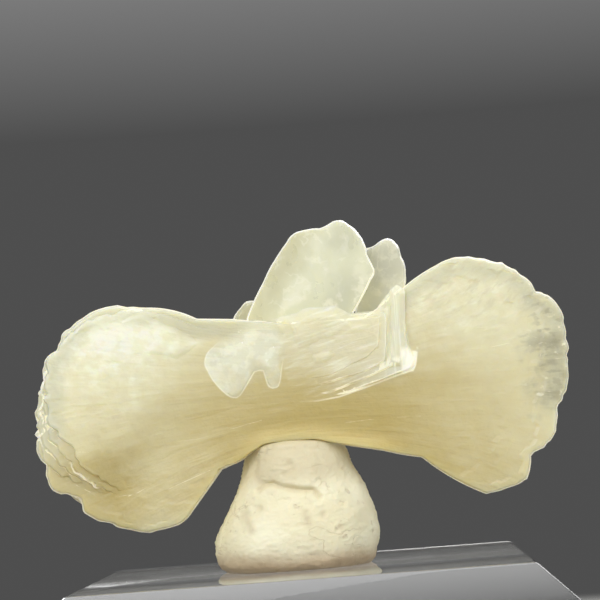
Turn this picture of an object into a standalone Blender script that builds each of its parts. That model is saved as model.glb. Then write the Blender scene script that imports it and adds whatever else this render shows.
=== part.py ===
"""A stilbite bow tie on a lump of mineral tack and a clear bevelled base.

Metres, +Z up. The origin is the centre of the base's underside. The bow tie lies along X, and its
broad faces look along -Y (the front) and +Y. Outlines are drawn in millimetres as seen from the
front, as corners of (x, z, bow): the side that runs on to the next corner bows outwards by bow.
"""

import math
import random

import bpy
import numpy as np
from mathutils import Vector, noise
from mathutils.geometry import delaunay_2d_cdt

MM = 0.001

BASE_WIDTH = 38.0
BASE_HEIGHT = 9.5
BASE_BEVEL = 5.0

GAP = 0.3
OUTLINE_STEP = 1.0
FACE_STEP = 1.7
RIM_RINGS = (0.35, 1.0)
PLATE_BLUNT = 0.25

WAIST_HALF_DEPTH = 2.8
WAIST_END = 4.0
FAN_START = 12.0
PLATE_SPREAD = 1.9
PLATE_FLARE = 9.0
FAN_CENTRE = 21.3

PUTTY_TOP = 17.8
PUTTY_LEVELS = [
    (BASE_HEIGHT + GAP, -5.2, 4.1, 4.5), (10.4, -5.85, 4.6, 5.1), (11.6, -5.75, 4.72, 5.1),
    (12.8, -5.2, 4.6, 4.8), (14.0, -4.6, 4.3, 4.4), (15.2, -4.0, 3.85, 3.95),
    (16.4, -3.55, 3.35, 3.55), (17.2, -3.3, 3.0, 3.2), (PUTTY_TOP, -2.7, 2.4, 2.6),
]
PUTTY_SIDES = 28
PUTTY_LUMP = 0.35
SEAT_LEFT = -7.5
SEAT_RIGHT = 6.0
SEAT_TOP = [(5.6, 21.0, 0.0), (-7.3, 21.0, 0.0)]

BOW_TIE = [
    (-3.7, 26.0, 0.0), (-6.0, 26.2, 0.25), (-9.6, 27.2, 0.75), (-14.85, 26.0, 0.0),
    (-15.5, 24.8, 0.45), (-16.35, 22.9, 0.17), (-16.4, 21.9, 0.25), (-16.6, 20.3, 0.05),
    (-16.55, 19.65, 0.6), (-16.65, 17.35, 0.15), (-16.4, 15.9, 0.12), (-15.6, 15.4, 0.0),
    (-14.4, 14.95, 0.1), (-14.3, 14.0, 0.1), (-12.5, 13.1, 0.42), (-8.4, 12.75, 0.12),
    (-7.3, 13.5, 0.0), (-5.05, 16.3, 0.08), (-3.45, 16.85, -0.05), (-2.0, 17.6, 0.0),
    (1.0, 17.65, 0.0), (3.1, 17.15, 0.0), (5.6, 16.6, 0.05), (8.0, 16.0, 0.2),
    (12.0, 13.3, 0.1), (14.75, 14.0, 0.12), (15.05, 15.6, 0.75), (17.05, 18.5, 0.42),
    (17.95, 21.9, 0.15), (18.0, 23.0, 0.2), (17.6, 25.3, 0.2), (16.35, 26.3, 0.2),
    (15.45, 27.5, 0.18), (13.0, 28.7, 0.35), (10.0, 28.5, 0.08), (7.7, 27.2, 0.0),
    (5.0, 25.2, 0.0), (1.0, 24.9, 0.0),
]

LEFT_LEDGE = [
    (-6.2, 23.95, 0.05), (-5.6, 24.45, 0.05), (-6.5, 25.3, 0.05), (-8.2, 26.1, 0.1), (-9.3, 26.7, 0.1),
    (-11.8, 26.4, 0.4), (-12.6, 25.0, 0.2), (-11.6, 24.1, 0.1), (-9.6, 23.75, 0.0), (-7.3, 23.5, 0.05),
]
LEFT_PILLOW = [
    (-2.0, 25.2, 0.0), (-6.0, 25.9, 0.2), (-9.6, 27.0, 0.5), (-14.6, 25.8, 0.5),
    (-16.2, 22.6, 0.15), (-16.2, 19.9, 0.2), (-15.1, 18.3, 0.0), (-14.9, 17.1, 0.1),
    (-13.5, 16.1, 0.0), (-12.7, 15.5, 0.15), (-10.6, 15.3, 0.1), (-8.6, 16.4, 0.0),
    (-4.0, 18.4, 0.0), (-1.0, 20.5, 0.3),
]
LEFT_UPPER_STEP = [
    (-2.0, 24.6, 0.0), (-9.4, 26.2, 0.5), (-15.4, 24.4, 0.5), (-16.4, 21.0, 0.2),
    (-16.5, 18.9, 0.1), (-15.9, 17.8, 0.1), (-15.1, 16.8, 0.0), (-13.8, 16.1, 0.1),
    (-12.0, 15.05, 0.2), (-8.6, 15.6, 0.0), (-4.0, 18.0, 0.0), (-1.0, 20.5, 0.3),
]
LEFT_LOWER_STEP = [
    (-2.0, 24.2, 0.0), (-9.4, 25.6, 0.5), (-15.6, 23.4, 0.5), (-16.6, 19.0, 0.2),
    (-16.3, 17.2, 0.1), (-15.4, 16.4, 0.0), (-13.8, 15.5, 0.0), (-12.3, 14.9, 0.3),
    (-8.7, 15.15, 0.0), (-5.9, 16.4, 0.0), (-1.0, 19.5, 0.3),
]
LEFT_FAN = [
    (-1.0, 24.4, 0.0), (-8.5, 26.5, 0.6), (-14.2, 26.2, 0.3), (-15.9, 23.9, 0.3),
    (-16.4, 21.2, 0.4), (-16.8, 18.3, 0.4), (-16.1, 15.8, 0.2), (-13.9, 14.0, 0.5),
    (-9.0, 13.2, 0.2), (-5.0, 16.8, 0.0), (-1.0, 18.6, 0.3),
]
RIGHT_FAN = [
    (1.0, 18.6, 0.0), (7.0, 17.0, 0.0), (11.6, 14.0, 0.3), (14.6, 14.6, 0.3),
    (16.4, 17.2, 0.4), (17.6, 20.3, 0.3), (17.8, 23.0, 0.3), (16.9, 25.6, 0.4),
    (15.0, 27.6, 0.4), (11.4, 28.4, 0.3), (7.6, 26.6, 0.0), (1.0, 23.9, 0.3),
]

TALL_BLADE = [
    (0.5, 22.0, 0.0), (4.0, 22.0, 0.0), (4.2, 25.75, 0.0), (5.9, 28.5, 0.1),
    (5.5, 29.9, 0.05), (4.8, 31.5, 0.1), (3.9, 32.0, 0.0), (2.0, 31.55, 0.05),
    (0.9, 31.45, 0.1), (-0.5, 30.1, 0.0), (-1.6, 28.3, 0.0), (-2.75, 26.0, 0.0), (-2.2, 24.0, 0.0),
]
BACK_BLADE = [
    (3.6, 23.0, 0.0), (7.4, 23.6, 0.0), (7.7, 27.2, 0.0), (8.1, 28.2, 0.1), (7.6, 29.8, 0.1),
    (6.9, 30.65, 0.1), (6.2, 30.3, 0.0), (5.3, 30.1, 0.0), (4.4, 26.0, 0.0),
]
BACK_NUB = [
    (-4.4, 24.5, 0.0), (-0.8, 24.5, 0.0), (-1.4, 27.0, 0.2), (-3.1, 26.85, 0.1), (-3.7, 26.0, 0.0),
]

CROSS_REAR = [
    (0.0, 20.3, -0.1), (3.0, 20.4, 0.0), (5.0, 21.0, 0.0), (7.3, 21.75, 0.1), (8.1, 21.8, 0.1),
    (8.35, 23.0, 0.0), (7.75, 24.0, 0.0), (7.7, 27.2, 0.05), (6.6, 27.0, 0.0), (5.6, 26.0, 0.0),
    (0.6, 25.9, 0.0), (-0.8, 24.0, 0.0),
]
CROSS_MIDDLE = [
    (0.8, 20.75, -0.1), (3.4, 21.0, 0.0), (5.6, 21.4, 0.0), (7.0, 22.0, 0.0), (7.3, 23.2, 0.0),
    (7.2, 27.0, 0.0), (6.0, 26.2, 0.0), (0.4, 25.8, 0.0), (-0.4, 23.6, 0.0),
]
CROSS_FRONT = [
    (0.7, 21.5, -0.1), (3.4, 21.9, 0.0), (6.2, 21.9, 0.05), (6.25, 24.5, 0.0), (6.5, 26.3, 0.0),
    (5.0, 25.75, 0.0), (4.2, 25.7, 0.45), (0.7, 26.2, 0.1), (-0.1, 23.4, 0.0),
]
WHITE_CRYSTAL = [
    (-2.2, 26.0, 0.05), (-4.0, 25.1, 0.05), (-5.8, 24.0, 0.1), (-5.3, 22.2, 0.05), (-4.1, 20.8, 0.1),
    (-3.7, 20.8, 0.0), (-2.8, 22.1, -0.05), (-2.05, 22.4, 0.0), (-1.6, 21.25, 0.15),
    (-0.85, 21.8, 0.0), (-0.2, 24.3, 0.15), (-1.0, 25.6, 0.1),
]


def bowed(corners, step):
    """Points about step apart along the closed outline that the corners give."""
    points = []
    for (x0, z0, bow), (x1, z1, _) in zip(corners, corners[1:] + corners[:1]):
        length = math.hypot(x1 - x0, z1 - z0)
        count = max(1, round(length / step))
        for k in range(count):
            t = k / count
            out = 4 * bow * t * (1 - t) / length
            points.append((x0 + (x1 - x0) * t + (z1 - z0) * out, z0 + (z1 - z0) * t - (x1 - x0) * out))
    return np.array(points)


def depth_inside(points, outline):
    """How far each point lies inside the closed outline, below zero where it is outside."""
    x, z = points[:, :1], points[:, 1:]
    ends = np.roll(outline, -1, axis=0)
    side = ends - outline
    across_x, across_z = x - outline[:, 0], z - outline[:, 1]
    share = (across_x * side[:, 0] + across_z * side[:, 1]) / (side ** 2).sum(1)
    share = np.clip(share, 0, 1)
    away = np.hypot(across_x - share * side[:, 0], across_z - share * side[:, 1]).min(1)
    passes = (outline[:, 1] > z) != (ends[:, 1] > z)
    rise = np.where(side[:, 1] == 0, 1, side[:, 1])
    left = across_x < side[:, 0] * across_z / rise
    inside = (passes & left).sum(1) % 2 == 1
    return np.where(inside, away, -away)


def inset(outline, by):
    """The outline drawn in by a distance, without the points that would cross over in a narrow place."""
    along = np.roll(outline, -1, axis=0) - np.roll(outline, 1, axis=0)
    inward = np.column_stack([-along[:, 1], along[:, 0]]) / np.hypot(*along.T)[:, None]
    moved = outline + inward * by
    return moved[depth_inside(moved, outline) > 0.93 * by]


def filled(outline, rim, seed):
    """The outline filled with triangles: flat points, the outline's own first, and the triangles."""
    rings = [inset(outline, share * rim) for share in RIM_RINGS]
    shift = random.Random(seed)
    low, high = outline.min(0) - FACE_STEP * shift.random(), outline.max(0)
    grid = np.array([
        (x + (row % 2) * FACE_STEP / 2, z)
        for row, z in enumerate(np.arange(low[1], high[1], FACE_STEP * 0.87))
        for x in np.arange(low[0], high[0], FACE_STEP)
    ])
    rings.append(grid[depth_inside(grid, outline) > rim + 0.5 * FACE_STEP])
    points = [Vector(p) for p in np.vstack([outline] + rings)]
    border = [(i, (i + 1) % len(outline)) for i in range(len(outline))]
    flat, _, triangles, _, _, _ = delaunay_2d_cdt(points, border, [], 1, 1e-5)
    return np.array(flat), triangles


def new_object(name, points, faces):
    """A mesh object from points in millimetres."""
    mesh = bpy.data.meshes.new(name)
    mesh.from_pydata([tuple(p * MM for p in point) for point in points], [], faces)
    made = bpy.data.objects.new(name, mesh)
    bpy.context.collection.objects.link(made)
    return made


def plate(name, corners, middle, half, rim):
    """A crystal plate: the outline swollen from a blunt edge to half its thickness over the rim."""
    outline = bowed(corners, OUTLINE_STEP)
    flat, triangles = filled(outline, rim, name)
    x, z = flat[:, 0], flat[:, 1]
    inward = np.clip(depth_inside(flat, outline) / rim, 0, 1)
    inward[:len(outline)] = 0
    swell = PLATE_BLUNT + (half(x) - PLATE_BLUNT) * np.sqrt(1 - (1 - inward) ** 2)
    front = np.column_stack([x, middle(x, z) - swell, z])
    back = np.column_stack([x, middle(x, z) + swell, z])
    behind = len(flat)
    faces = [tuple(t) for t in triangles]
    faces += [tuple(behind + i for i in reversed(t)) for t in triangles]
    for i in range(len(outline)):
        j = (i + 1) % len(outline)
        faces.append((i, behind + i, behind + j, j))
    return new_object(name, np.vstack([front, back]), faces)


def towards_fan(x):
    """0 in the waist, rising to 1 where the fans are full."""
    t = np.clip((np.abs(x) - WAIST_END) / (FAN_START - WAIST_END), 0, 1)
    return t * t * (3 - 2 * t)


def spread(x):
    """How far the outermost plates stand from the middle plane: least at the waist."""
    return PLATE_SPREAD * np.sqrt(1 + (x / PLATE_FLARE) ** 2)


def bow_tie_body():
    """The largest plate, which has the whole outline and carries all the others."""

    def middle(x, z):
        return towards_fan(x) * np.where(x < 0, -0.7, -1.5)

    def half(x):
        return WAIST_HALF_DEPTH - towards_fan(x) * np.where(x < 0, 1.0, 1.3)

    return plate("stilbite_bow_tie", BOW_TIE, middle, half, 1.6)


def fan_plate(name, corners, place, half, rim=1.0):
    """A plate that dives into the waist; its place is about -1 at the front and 1 at the back."""
    return plate(name, corners, lambda x, z: place * spread(x), lambda x: half + 0 * x, rim)


def turned(corners, degrees, shrink):
    """The outline turned about the waist and drawn in towards it, as the next plate of the fan."""
    c, s = math.cos(math.radians(degrees)) * shrink, math.sin(math.radians(degrees)) * shrink
    return [(x * c - (z - FAN_CENTRE) * s, FAN_CENTRE + x * s + (z - FAN_CENTRE) * c, bow)
            for x, z, bow in corners]


def standing_plate(name, corners, y, half, lean=0.0, rim=0.5, bulge=0.0):
    """A plate at depth y, leaning back by lean per unit of height and bulging forward in its middle."""
    low = min(z for _, z, _ in corners)
    centre = sum(x for x, _, _ in corners) / len(corners)

    def middle(x, z):
        return y + lean * (z - low) + bulge * (x - centre) ** 2

    return plate(name, corners, middle, lambda x: half + 0 * x, rim)


def fan_plates():
    """Ledges on the front of the left fan, and the plates behind both fans."""
    return [
        fan_plate("left_ledge", LEFT_LEDGE, place=-1.2, half=0.55, rim=0.5),
        fan_plate("left_pillow", LEFT_PILLOW, place=-0.95, half=0.85, rim=1.6),
        fan_plate("left_upper_step", LEFT_UPPER_STEP, place=-0.8, half=0.85),
        fan_plate("left_lower_step", LEFT_LOWER_STEP, place=-0.66, half=0.85),
        fan_plate("left_fan_1", turned(LEFT_FAN, 1.0, 0.99), place=0.33, half=0.95),
        fan_plate("left_fan_2", turned(LEFT_FAN, -2.5, 0.96), place=0.66, half=0.9),
        fan_plate("left_fan_3", turned(LEFT_FAN, 2.0, 0.9), place=0.98, half=0.85, rim=1.6),
        fan_plate("left_back_ledge", turned(LEFT_FAN, -6.0, 0.72), place=1.15, half=0.75),
        fan_plate("right_face", turned(RIGHT_FAN, 0.5, 0.95), place=-0.74, half=0.75, rim=2.4),
        fan_plate("right_fan_1", turned(RIGHT_FAN, -1.0, 0.985), place=0.16, half=0.95),
        fan_plate("right_fan_2", turned(RIGHT_FAN, 2.5, 0.95), place=0.52, half=0.95),
        fan_plate("right_fan_3", turned(RIGHT_FAN, -2.5, 0.9), place=0.88, half=0.9, rim=1.6),
        fan_plate("right_back_ledge", turned(RIGHT_FAN, 6.0, 0.7), place=1.08, half=0.75),
    ]


def standing_crystals():
    """The blades that stand on the waist."""
    return [
        standing_plate("tall_blade", TALL_BLADE, y=-1.5, half=0.6, lean=0.05),
        standing_plate("back_blade", BACK_BLADE, y=1.0, half=0.5, lean=0.04),
        standing_plate("back_nub", BACK_NUB, y=1.3, half=0.7),
    ]


def front_crystals():
    """The short sheaf across the front of the waist, and the milky crystal beside it."""
    return [
        standing_plate("cross_rear", CROSS_REAR, y=-2.6, half=0.7, bulge=0.01),
        standing_plate("cross_middle", CROSS_MIDDLE, y=-2.85, half=0.7, bulge=0.01),
        standing_plate("cross_front", CROSS_FRONT, y=-3.1, half=0.7, bulge=0.01),
        standing_plate("white_crystal", WHITE_CRYSTAL, y=-2.6, half=1.0, bulge=0.02, rim=0.8),
    ]


def combine(body, other, operation):
    """Joins other to body, or cuts it out, and leaves other as a helper."""
    cut = body.modifiers.new(other.name, "BOOLEAN")
    cut.operation = operation
    cut.object = other
    other.hide_render = True
    other.display_type = "WIRE"


def putty():
    """The lump of tack: a soft round cone, flat under its foot and hollowed to the waist above it."""
    points = []
    for row, (z, left, right, half_depth) in enumerate(PUTTY_LEVELS):
        for k in range(PUTTY_SIDES):
            turn = 2 * math.pi * k / PUTTY_SIDES
            x = (left + right) / 2 + (right - left) / 2 * math.cos(turn)
            y = half_depth * math.sin(turn)
            lump = PUTTY_LUMP * noise.noise(Vector((x, y, z)) * 0.35) if row else 0
            reach = 1 + lump / half_depth
            points.append((x * reach, y * reach, z))
    faces = [tuple(reversed(range(PUTTY_SIDES)))]
    for row in range(len(PUTTY_LEVELS) - 1):
        for k in range(PUTTY_SIDES):
            low, high = row * PUTTY_SIDES, (row + 1) * PUTTY_SIDES
            following = (k + 1) % PUTTY_SIDES
            faces.append((low + k, low + following, high + following, high + k))
    faces.append(tuple(range(len(points) - PUTTY_SIDES, len(points))))
    return new_object("mounting_putty", points, faces)


def seat():
    """What the waist presses out of the putty: the waist's underside, a gap larger all round."""
    under = [(x, z - GAP, bow) for x, z, bow in BOW_TIE if z < PUTTY_TOP and SEAT_LEFT < x < SEAT_RIGHT]
    half = WAIST_HALF_DEPTH + 2 * GAP
    return plate("waist_seat", under + SEAT_TOP, lambda x, z: 0 * x, lambda x: half + 0 * x, 1.6)


def base():
    """The clear block: square, with a broad bevel round its top."""
    foot = BASE_WIDTH / 2
    face = foot - BASE_BEVEL
    shoulder = BASE_HEIGHT - BASE_BEVEL
    rings = [(foot, 0.0), (foot, shoulder), (face, BASE_HEIGHT)]
    turns = [(-1, -1), (1, -1), (1, 1), (-1, 1)]
    points = [(sx * half, sy * half, z) for half, z in rings for sx, sy in turns]
    faces = [(3, 2, 1, 0), (8, 9, 10, 11)]
    for low in (0, 4):
        for k in range(4):
            following = (k + 1) % 4
            faces.append((low + k, low + following, low + 4 + following, low + 4 + k))
    return new_object("acrylic_base", points, faces)


def finish(made, color, roughness, transmission=0.0, ior=1.5):
    """Gives the object a material of its own name."""
    material = bpy.data.materials.new(made.name)
    material.use_nodes = True
    shader = material.node_tree.nodes["Principled BSDF"]
    shader.inputs["Base Color"].default_value = (*color, 1)
    shader.inputs["Metallic"].default_value = 0
    shader.inputs["Roughness"].default_value = roughness
    shader.inputs["Transmission Weight"].default_value = transmission
    shader.inputs["IOR"].default_value = ior
    made.data.materials.append(material)


for old in list(bpy.data.objects):
    bpy.data.objects.remove(old)

stilbite = bow_tie_body()
for crystal in fan_plates() + standing_crystals() + front_crystals():
    combine(stilbite, crystal, "UNION")
finish(stilbite, (0.72, 0.66, 0.42), 0.4, transmission=0.2, ior=1.5)

tack = putty()
combine(tack, seat(), "DIFFERENCE")
finish(tack, (0.82, 0.76, 0.58), 0.75)

block = base()
finish(block, (0.97, 0.97, 0.97), 0.03, transmission=1.0, ior=1.49)
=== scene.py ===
import math

import bmesh
import bpy
import numpy as np
from mathutils import Matrix, Vector, noise
from mathutils.geometry import delaunay_2d_cdt
from mathutils.kdtree import KDTree


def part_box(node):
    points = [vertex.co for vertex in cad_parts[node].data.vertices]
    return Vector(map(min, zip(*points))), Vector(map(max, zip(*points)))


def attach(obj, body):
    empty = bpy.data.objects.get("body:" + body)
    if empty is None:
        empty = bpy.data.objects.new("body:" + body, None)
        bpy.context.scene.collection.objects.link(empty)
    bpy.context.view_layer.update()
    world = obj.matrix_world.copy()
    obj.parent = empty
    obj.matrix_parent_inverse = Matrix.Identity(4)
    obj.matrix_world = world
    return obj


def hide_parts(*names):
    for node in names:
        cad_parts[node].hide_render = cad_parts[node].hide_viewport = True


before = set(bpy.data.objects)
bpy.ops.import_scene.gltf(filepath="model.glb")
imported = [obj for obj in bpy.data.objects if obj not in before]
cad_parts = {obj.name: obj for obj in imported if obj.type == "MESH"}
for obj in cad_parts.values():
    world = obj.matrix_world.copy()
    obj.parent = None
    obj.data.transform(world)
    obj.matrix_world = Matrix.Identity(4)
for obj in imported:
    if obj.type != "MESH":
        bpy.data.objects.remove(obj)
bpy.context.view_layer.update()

# Acrylic base: a square of clear cast acrylic with a broad bevel sawn round its top. Its faces are
# polished, which rounds the edges by a hair, and it lies loose on the table.
MM = 0.001
BASE_BEVEL = 5.0 * MM
POLISHED_EDGE = 0.16 * MM
POLISHED_STEPS = 3
BASE_CREASE = 20
ACRYLIC_IOR = 1.49
ACRYLIC_TINT = (0.97, 0.975, 0.97, 1)


class Value:
    """A number that a shader works out; sums and products of values add their Math nodes."""

    def __init__(self, shading, socket):
        self.shading = shading
        self.socket = socket

    def maths(self, operation, *others):
        return self.shading.node("ShaderNodeMath", {"operation": operation}, dict(enumerate(others)))

    def __add__(self, other):
        return self.maths("ADD", self, other)

    def __sub__(self, other):
        return self.maths("SUBTRACT", self, other)

    def __rsub__(self, other):
        return self.maths("SUBTRACT", other, self)

    def __mul__(self, other):
        return self.maths("MULTIPLY", self, other)

    def __truediv__(self, other):
        return self.maths("DIVIDE", self, other)

    def __rtruediv__(self, other):
        return self.maths("DIVIDE", other, self)

    __radd__ = __add__
    __rmul__ = __mul__

    def squared(self):
        return self * self

    def root(self):
        return self.maths("SQRT", self)


class Shading:
    """The node tree of a material or of the room around the object."""

    def __init__(self, tree):
        self.tree = tree

    def node(self, kind, settings, links, output=0):
        """Adds a node with its settings first, then a value or a link for each socket named."""
        made = self.tree.nodes.new(kind)
        for name, setting in settings.items():
            if name == "stops":
                self.stops(made.color_ramp, setting)
            else:
                setattr(made, name, setting)
        for name, value in links.items():
            self.feed(made.inputs[name], value)
        return Value(self, made.outputs[output])

    def stops(self, ramp, stops):
        """Gives a colour ramp its stops, as position and colour."""
        for _ in range(len(stops) - 2):
            ramp.elements.new(0.5)
        for element, (position, color) in zip(ramp.elements, stops):
            element.position = position
            element.color = (*color, 1)

    def feed(self, socket, value):
        if isinstance(value, Value):
            self.tree.links.new(value.socket, socket)
        else:
            socket.default_value = value


class Paint(Shading):
    """A new material, finished through the sockets of its Principled shader."""

    def __init__(self, name):
        self.material = bpy.data.materials.new(name)
        self.material.use_nodes = True
        super().__init__(self.material.node_tree)
        self.shader = self.tree.nodes["Principled BSDF"]

    def set(self, **sockets):
        """Feeds the shader's own sockets; underscores stand for spaces."""
        for name, value in sockets.items():
            self.feed(self.shader.inputs[name.replace("_", " ")], value)

    def place(self):
        """Where a point is on the piece, in metres."""
        return self.node("ShaderNodeTexCoord", {}, {}, "Object")

    def millimetres(self):
        """The three coordinates of a point on the piece, as values in millimetres."""
        place = self.place()
        return [self.node("ShaderNodeSeparateXYZ", {}, {0: place}, axis) / MM for axis in "XYZ"]

    def stored(self, name):
        """A value that the mesh keeps for each of its points."""
        return self.node("ShaderNodeAttribute", {"attribute_name": name}, {}, "Fac")

    def spots(self, scale, detail):
        """Cloudy noise at so many spots to the metre."""
        return self.noise(self.place(), scale, detail)

    def drawn(self, detail, x, y, z):
        """Cloudy noise drawn out along some directions, one spot to each step of x, y and z."""
        return self.noise(self.node("ShaderNodeCombineXYZ", {}, {0: x, 1: y, 2: z}), 1, detail)

    def noise(self, where, scale, detail):
        return self.node("ShaderNodeTexNoise", {}, {"Vector": where, "Scale": scale, "Detail": detail})

    def between(self, value, low, high, low_out=0.0, high_out=1.0):
        """The value's run from low to high, made to run between two others and held there."""
        links = {0: value, 1: low, 2: high, 3: low_out, 4: high_out}
        return self.node("ShaderNodeMapRange", {"interpolation_type": "SMOOTHSTEP"}, links)

    def within(self, value, start, full, fade, end):
        """1 between full and fade, falling to 0 at start and end."""
        return self.between(value, start, full) * self.between(value, fade, end, 1, 0)

    def blend(self, share, first, second):
        """One colour turning into another."""
        links = {0: share, 6: first, 7: second}
        return self.node("ShaderNodeMix", {"data_type": "RGBA"}, links, 2)

    def coats(self, color, *coats):
        """A colour under coats of others, each of them laid on by its share."""
        for share, coat in coats:
            color = self.blend(share, color, coat)
        return color

    def bump(self, height, strength, distance):
        links = {"Height": height, "Strength": strength, "Distance": distance}
        return self.node("ShaderNodeBump", {}, links)


def smoothed(mesh, crease):
    """The mesh with smooth shading, but for edges sharper than crease in degrees."""
    mesh.shade_smooth()
    mesh.set_sharp_from_angle(angle=math.radians(crease))
    return mesh


def show(name, mesh, paint):
    """Puts a mesh in the scene as a piece of the object."""
    piece = bpy.data.objects.new(name, mesh)
    bpy.context.collection.objects.link(piece)
    mesh.materials.append(paint.material)
    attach(piece, "root")
    return piece


def base_mesh():
    low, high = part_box("acrylic_base")
    shape = bmesh.new()
    middle = Matrix.Translation((low + high) / 2)
    bmesh.ops.create_cube(shape, size=1, matrix=middle @ Matrix.Diagonal((*(high - low), 1)))
    top = [edge for edge in shape.edges if all(vert.co.z > high.z - MM for vert in edge.verts)]
    bmesh.ops.bevel(shape, geom=top, offset=BASE_BEVEL, segments=1, affect="EDGES")
    bmesh.ops.bevel(shape, geom=shape.edges[:], offset=POLISHED_EDGE, segments=POLISHED_STEPS,
                    affect="EDGES", profile=0.5, clamp_overlap=True)
    mesh = bpy.data.meshes.new("acrylic_base_block")
    shape.to_mesh(mesh)
    shape.free()
    return smoothed(mesh, BASE_CREASE)


def acrylic():
    paint = Paint("clear_acrylic")
    haze = paint.spots(900, 4)
    hairlines = paint.spots(2600, 3)
    paint.set(Base_Color=ACRYLIC_TINT, Metallic=0, IOR=ACRYLIC_IOR, Transmission_Weight=1,
              Roughness=paint.between(haze, 0.35, 0.7, 0.01, 0.06),
              Normal=paint.bump(hairlines, 0.03, 0.03 * MM))
    return paint


base = show("acrylic_base_block", base_mesh(), acrylic())
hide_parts("acrylic_base")

# Mounting putty: a lump of cream mineral tack, rolled between the fingers, pressed flat on the base
# and squeezed up round the waist of the crystal, which left folds and pits. Only its grip holds.
PUTTY_ROWS = 110
PUTTY_SIDES = 200
PUTTY_LUMP = 0.22
LUMP_WAVES = 0.35
PUTTY_DIMPLE = 0.07
DIMPLE_WAVES = 0.9
PUTTY_WRINKLE = 0.09
WRINKLE_WAVES = 2.3
WRINKLE_SQUASH = 1.4
WRINKLE_LAYERS = 5
PUTTY_ROLL = 0.28
PUTTY_ROLL_AT = (-0.7, 16.2)
PUTTY_ROLL_SIZE = (1.7, 0.9)
PUTTY_CREASE = 50
PUTTY_CREAM = (0.96, 0.92, 0.70, 1)
PUTTY_SMEAR = (0.89, 0.83, 0.58, 1)
PUTTY_MARK_AND_CREASE_SHADE = (0.60, 0.50, 0.32, 1)
PUTTY_SHADED = (0.68, 0.60, 0.40, 1)
PUTTY_FOOT_SHADOW = (0.47, 0.34, 0.21, 1)

# The putty at rising heights in millimetres: z, its left and right ends in x, and half its depth.
PUTTY_LEVELS = [
    (9.5, -5.25, 4.15, 4.5), (9.75, -5.6, 4.4, 4.8), (10.5, -5.88, 4.62, 5.05), (11.6, -5.75, 4.74, 5.05),
    (12.8, -5.2, 4.6, 4.8), (14.0, -4.6, 4.3, 4.4), (15.2, -4.0, 3.85, 3.95),
    (16.4, -3.55, 3.35, 3.55), (17.1, -3.35, 3.1, 3.3), (17.6, -3.0, 2.75, 3.0), (17.8, -2.4, 2.2, 2.4),
]
# Each fold of the putty: its path of (x, z), its depth and its width. Each pit: x, z, radius, depth.
PUTTY_FOLDS = [
    ([(-2.6, 14.75), (-2.2, 15.1), (-1.6, 15.1), (-1.0, 14.8), (0.0, 14.55), (0.9, 14.5), (1.3, 14.05)],
     0.3, 0.17),
    ([(-2.5, 15.2), (-2.75, 15.9), (-2.6, 16.6)], 0.1, 0.25), ([(-0.9, 15.6), (-0.3, 15.9)], 0.07, 0.15),
    ([(-3.6, 13.2), (-3.3, 12.2)], 0.04, 0.3), ([(0.3, 13.1), (0.45, 12.4)], 0.04, 0.25),
]
PUTTY_PITS = [
    (-0.5, 16.2, 0.3, 0.2), (1.4, 12.9, 0.2, 0.1), (2.5, 12.0, 0.2, 0.1), (-2.6, 13.6, 0.25, 0.08),
]


def through(positions, levels):
    """Values on a smooth curve through the levels, whose first entries are the positions."""
    levels = np.array(levels, float)
    slopes = np.gradient(levels[:, 1:], levels[:, 0], axis=0)
    index = np.clip(np.searchsorted(levels[:, 0], positions) - 1, 0, len(levels) - 2)
    span = (levels[index + 1, 0] - levels[index, 0])[:, None]
    t = ((positions - levels[index, 0])[:, None]) / span
    first, last = levels[index, 1:], levels[index + 1, 1:]
    return ((1 + 2 * t) * (1 - t) ** 2 * first + t * (1 - t) ** 2 * slopes[index] * span
            + t * t * (3 - 2 * t) * last - t * t * (1 - t) * slopes[index + 1] * span)


def distance_to(points, path):
    """How far each point of a plane is from a path of corners."""
    least = np.full(len(points), 99.0)
    for start, end in zip(path, path[1:]):
        side = end - start
        share = np.clip(((points - start) @ side) / max((side ** 2).sum(), 1e-9), 0, 1)
        away = points - start - share[:, None] * side
        least = np.minimum(least, np.hypot(away[:, 0], away[:, 1]))
    return least


def store(mesh, name, values):
    """Keeps one value for each point of the mesh, under a name that its paint can read."""
    mesh.attributes.new(name, "FLOAT", "POINT").data.foreach_set("value", values)


def mesh_from(name, points, faces):
    """A mesh from points in millimetres."""
    mesh = bpy.data.meshes.new(name)
    mesh.from_pydata((points * MM).tolist(), [], faces)
    return mesh


def ring_faces(rows, sides):
    """The faces of a tube between its rows of points, with as many points to a row as it has sides."""
    return [(low + k, low + (k + 1) % sides, low + sides + (k + 1) % sides, low + sides + k)
            for low in range(0, (rows - 1) * sides, sides) for k in range(sides)]


def fold_shares(points):
    """How far down each fold and pit of the front the points lie, from 0 to 1, and the depths."""
    flat = points[:, [0, 2]]
    spans = [(distance_to(flat, np.array(path)) / width, depth) for path, depth, width in PUTTY_FOLDS]
    spans += [(np.hypot(*(flat - (x, z)).T) / radius, depth) for x, z, radius, depth in PUTTY_PITS]
    in_front = points[:, 1] <= 0
    return [(np.exp(-span ** 2) * in_front, depth) for span, depth in spans]


def lumps(x, y, z):
    """How far the rolled lump stands out at one point: rolls, dimples and fine wrinkles."""
    place, squashed = Vector((x, y, z)), Vector((x, y, z * WRINKLE_SQUASH))
    return (PUTTY_LUMP * noise.noise(place * LUMP_WAVES)
            + PUTTY_DIMPLE * noise.noise(place * DIMPLE_WAVES)
            + PUTTY_WRINKLE * noise.turbulence(squashed * WRINKLE_WAVES, WRINKLE_LAYERS, True))


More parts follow.
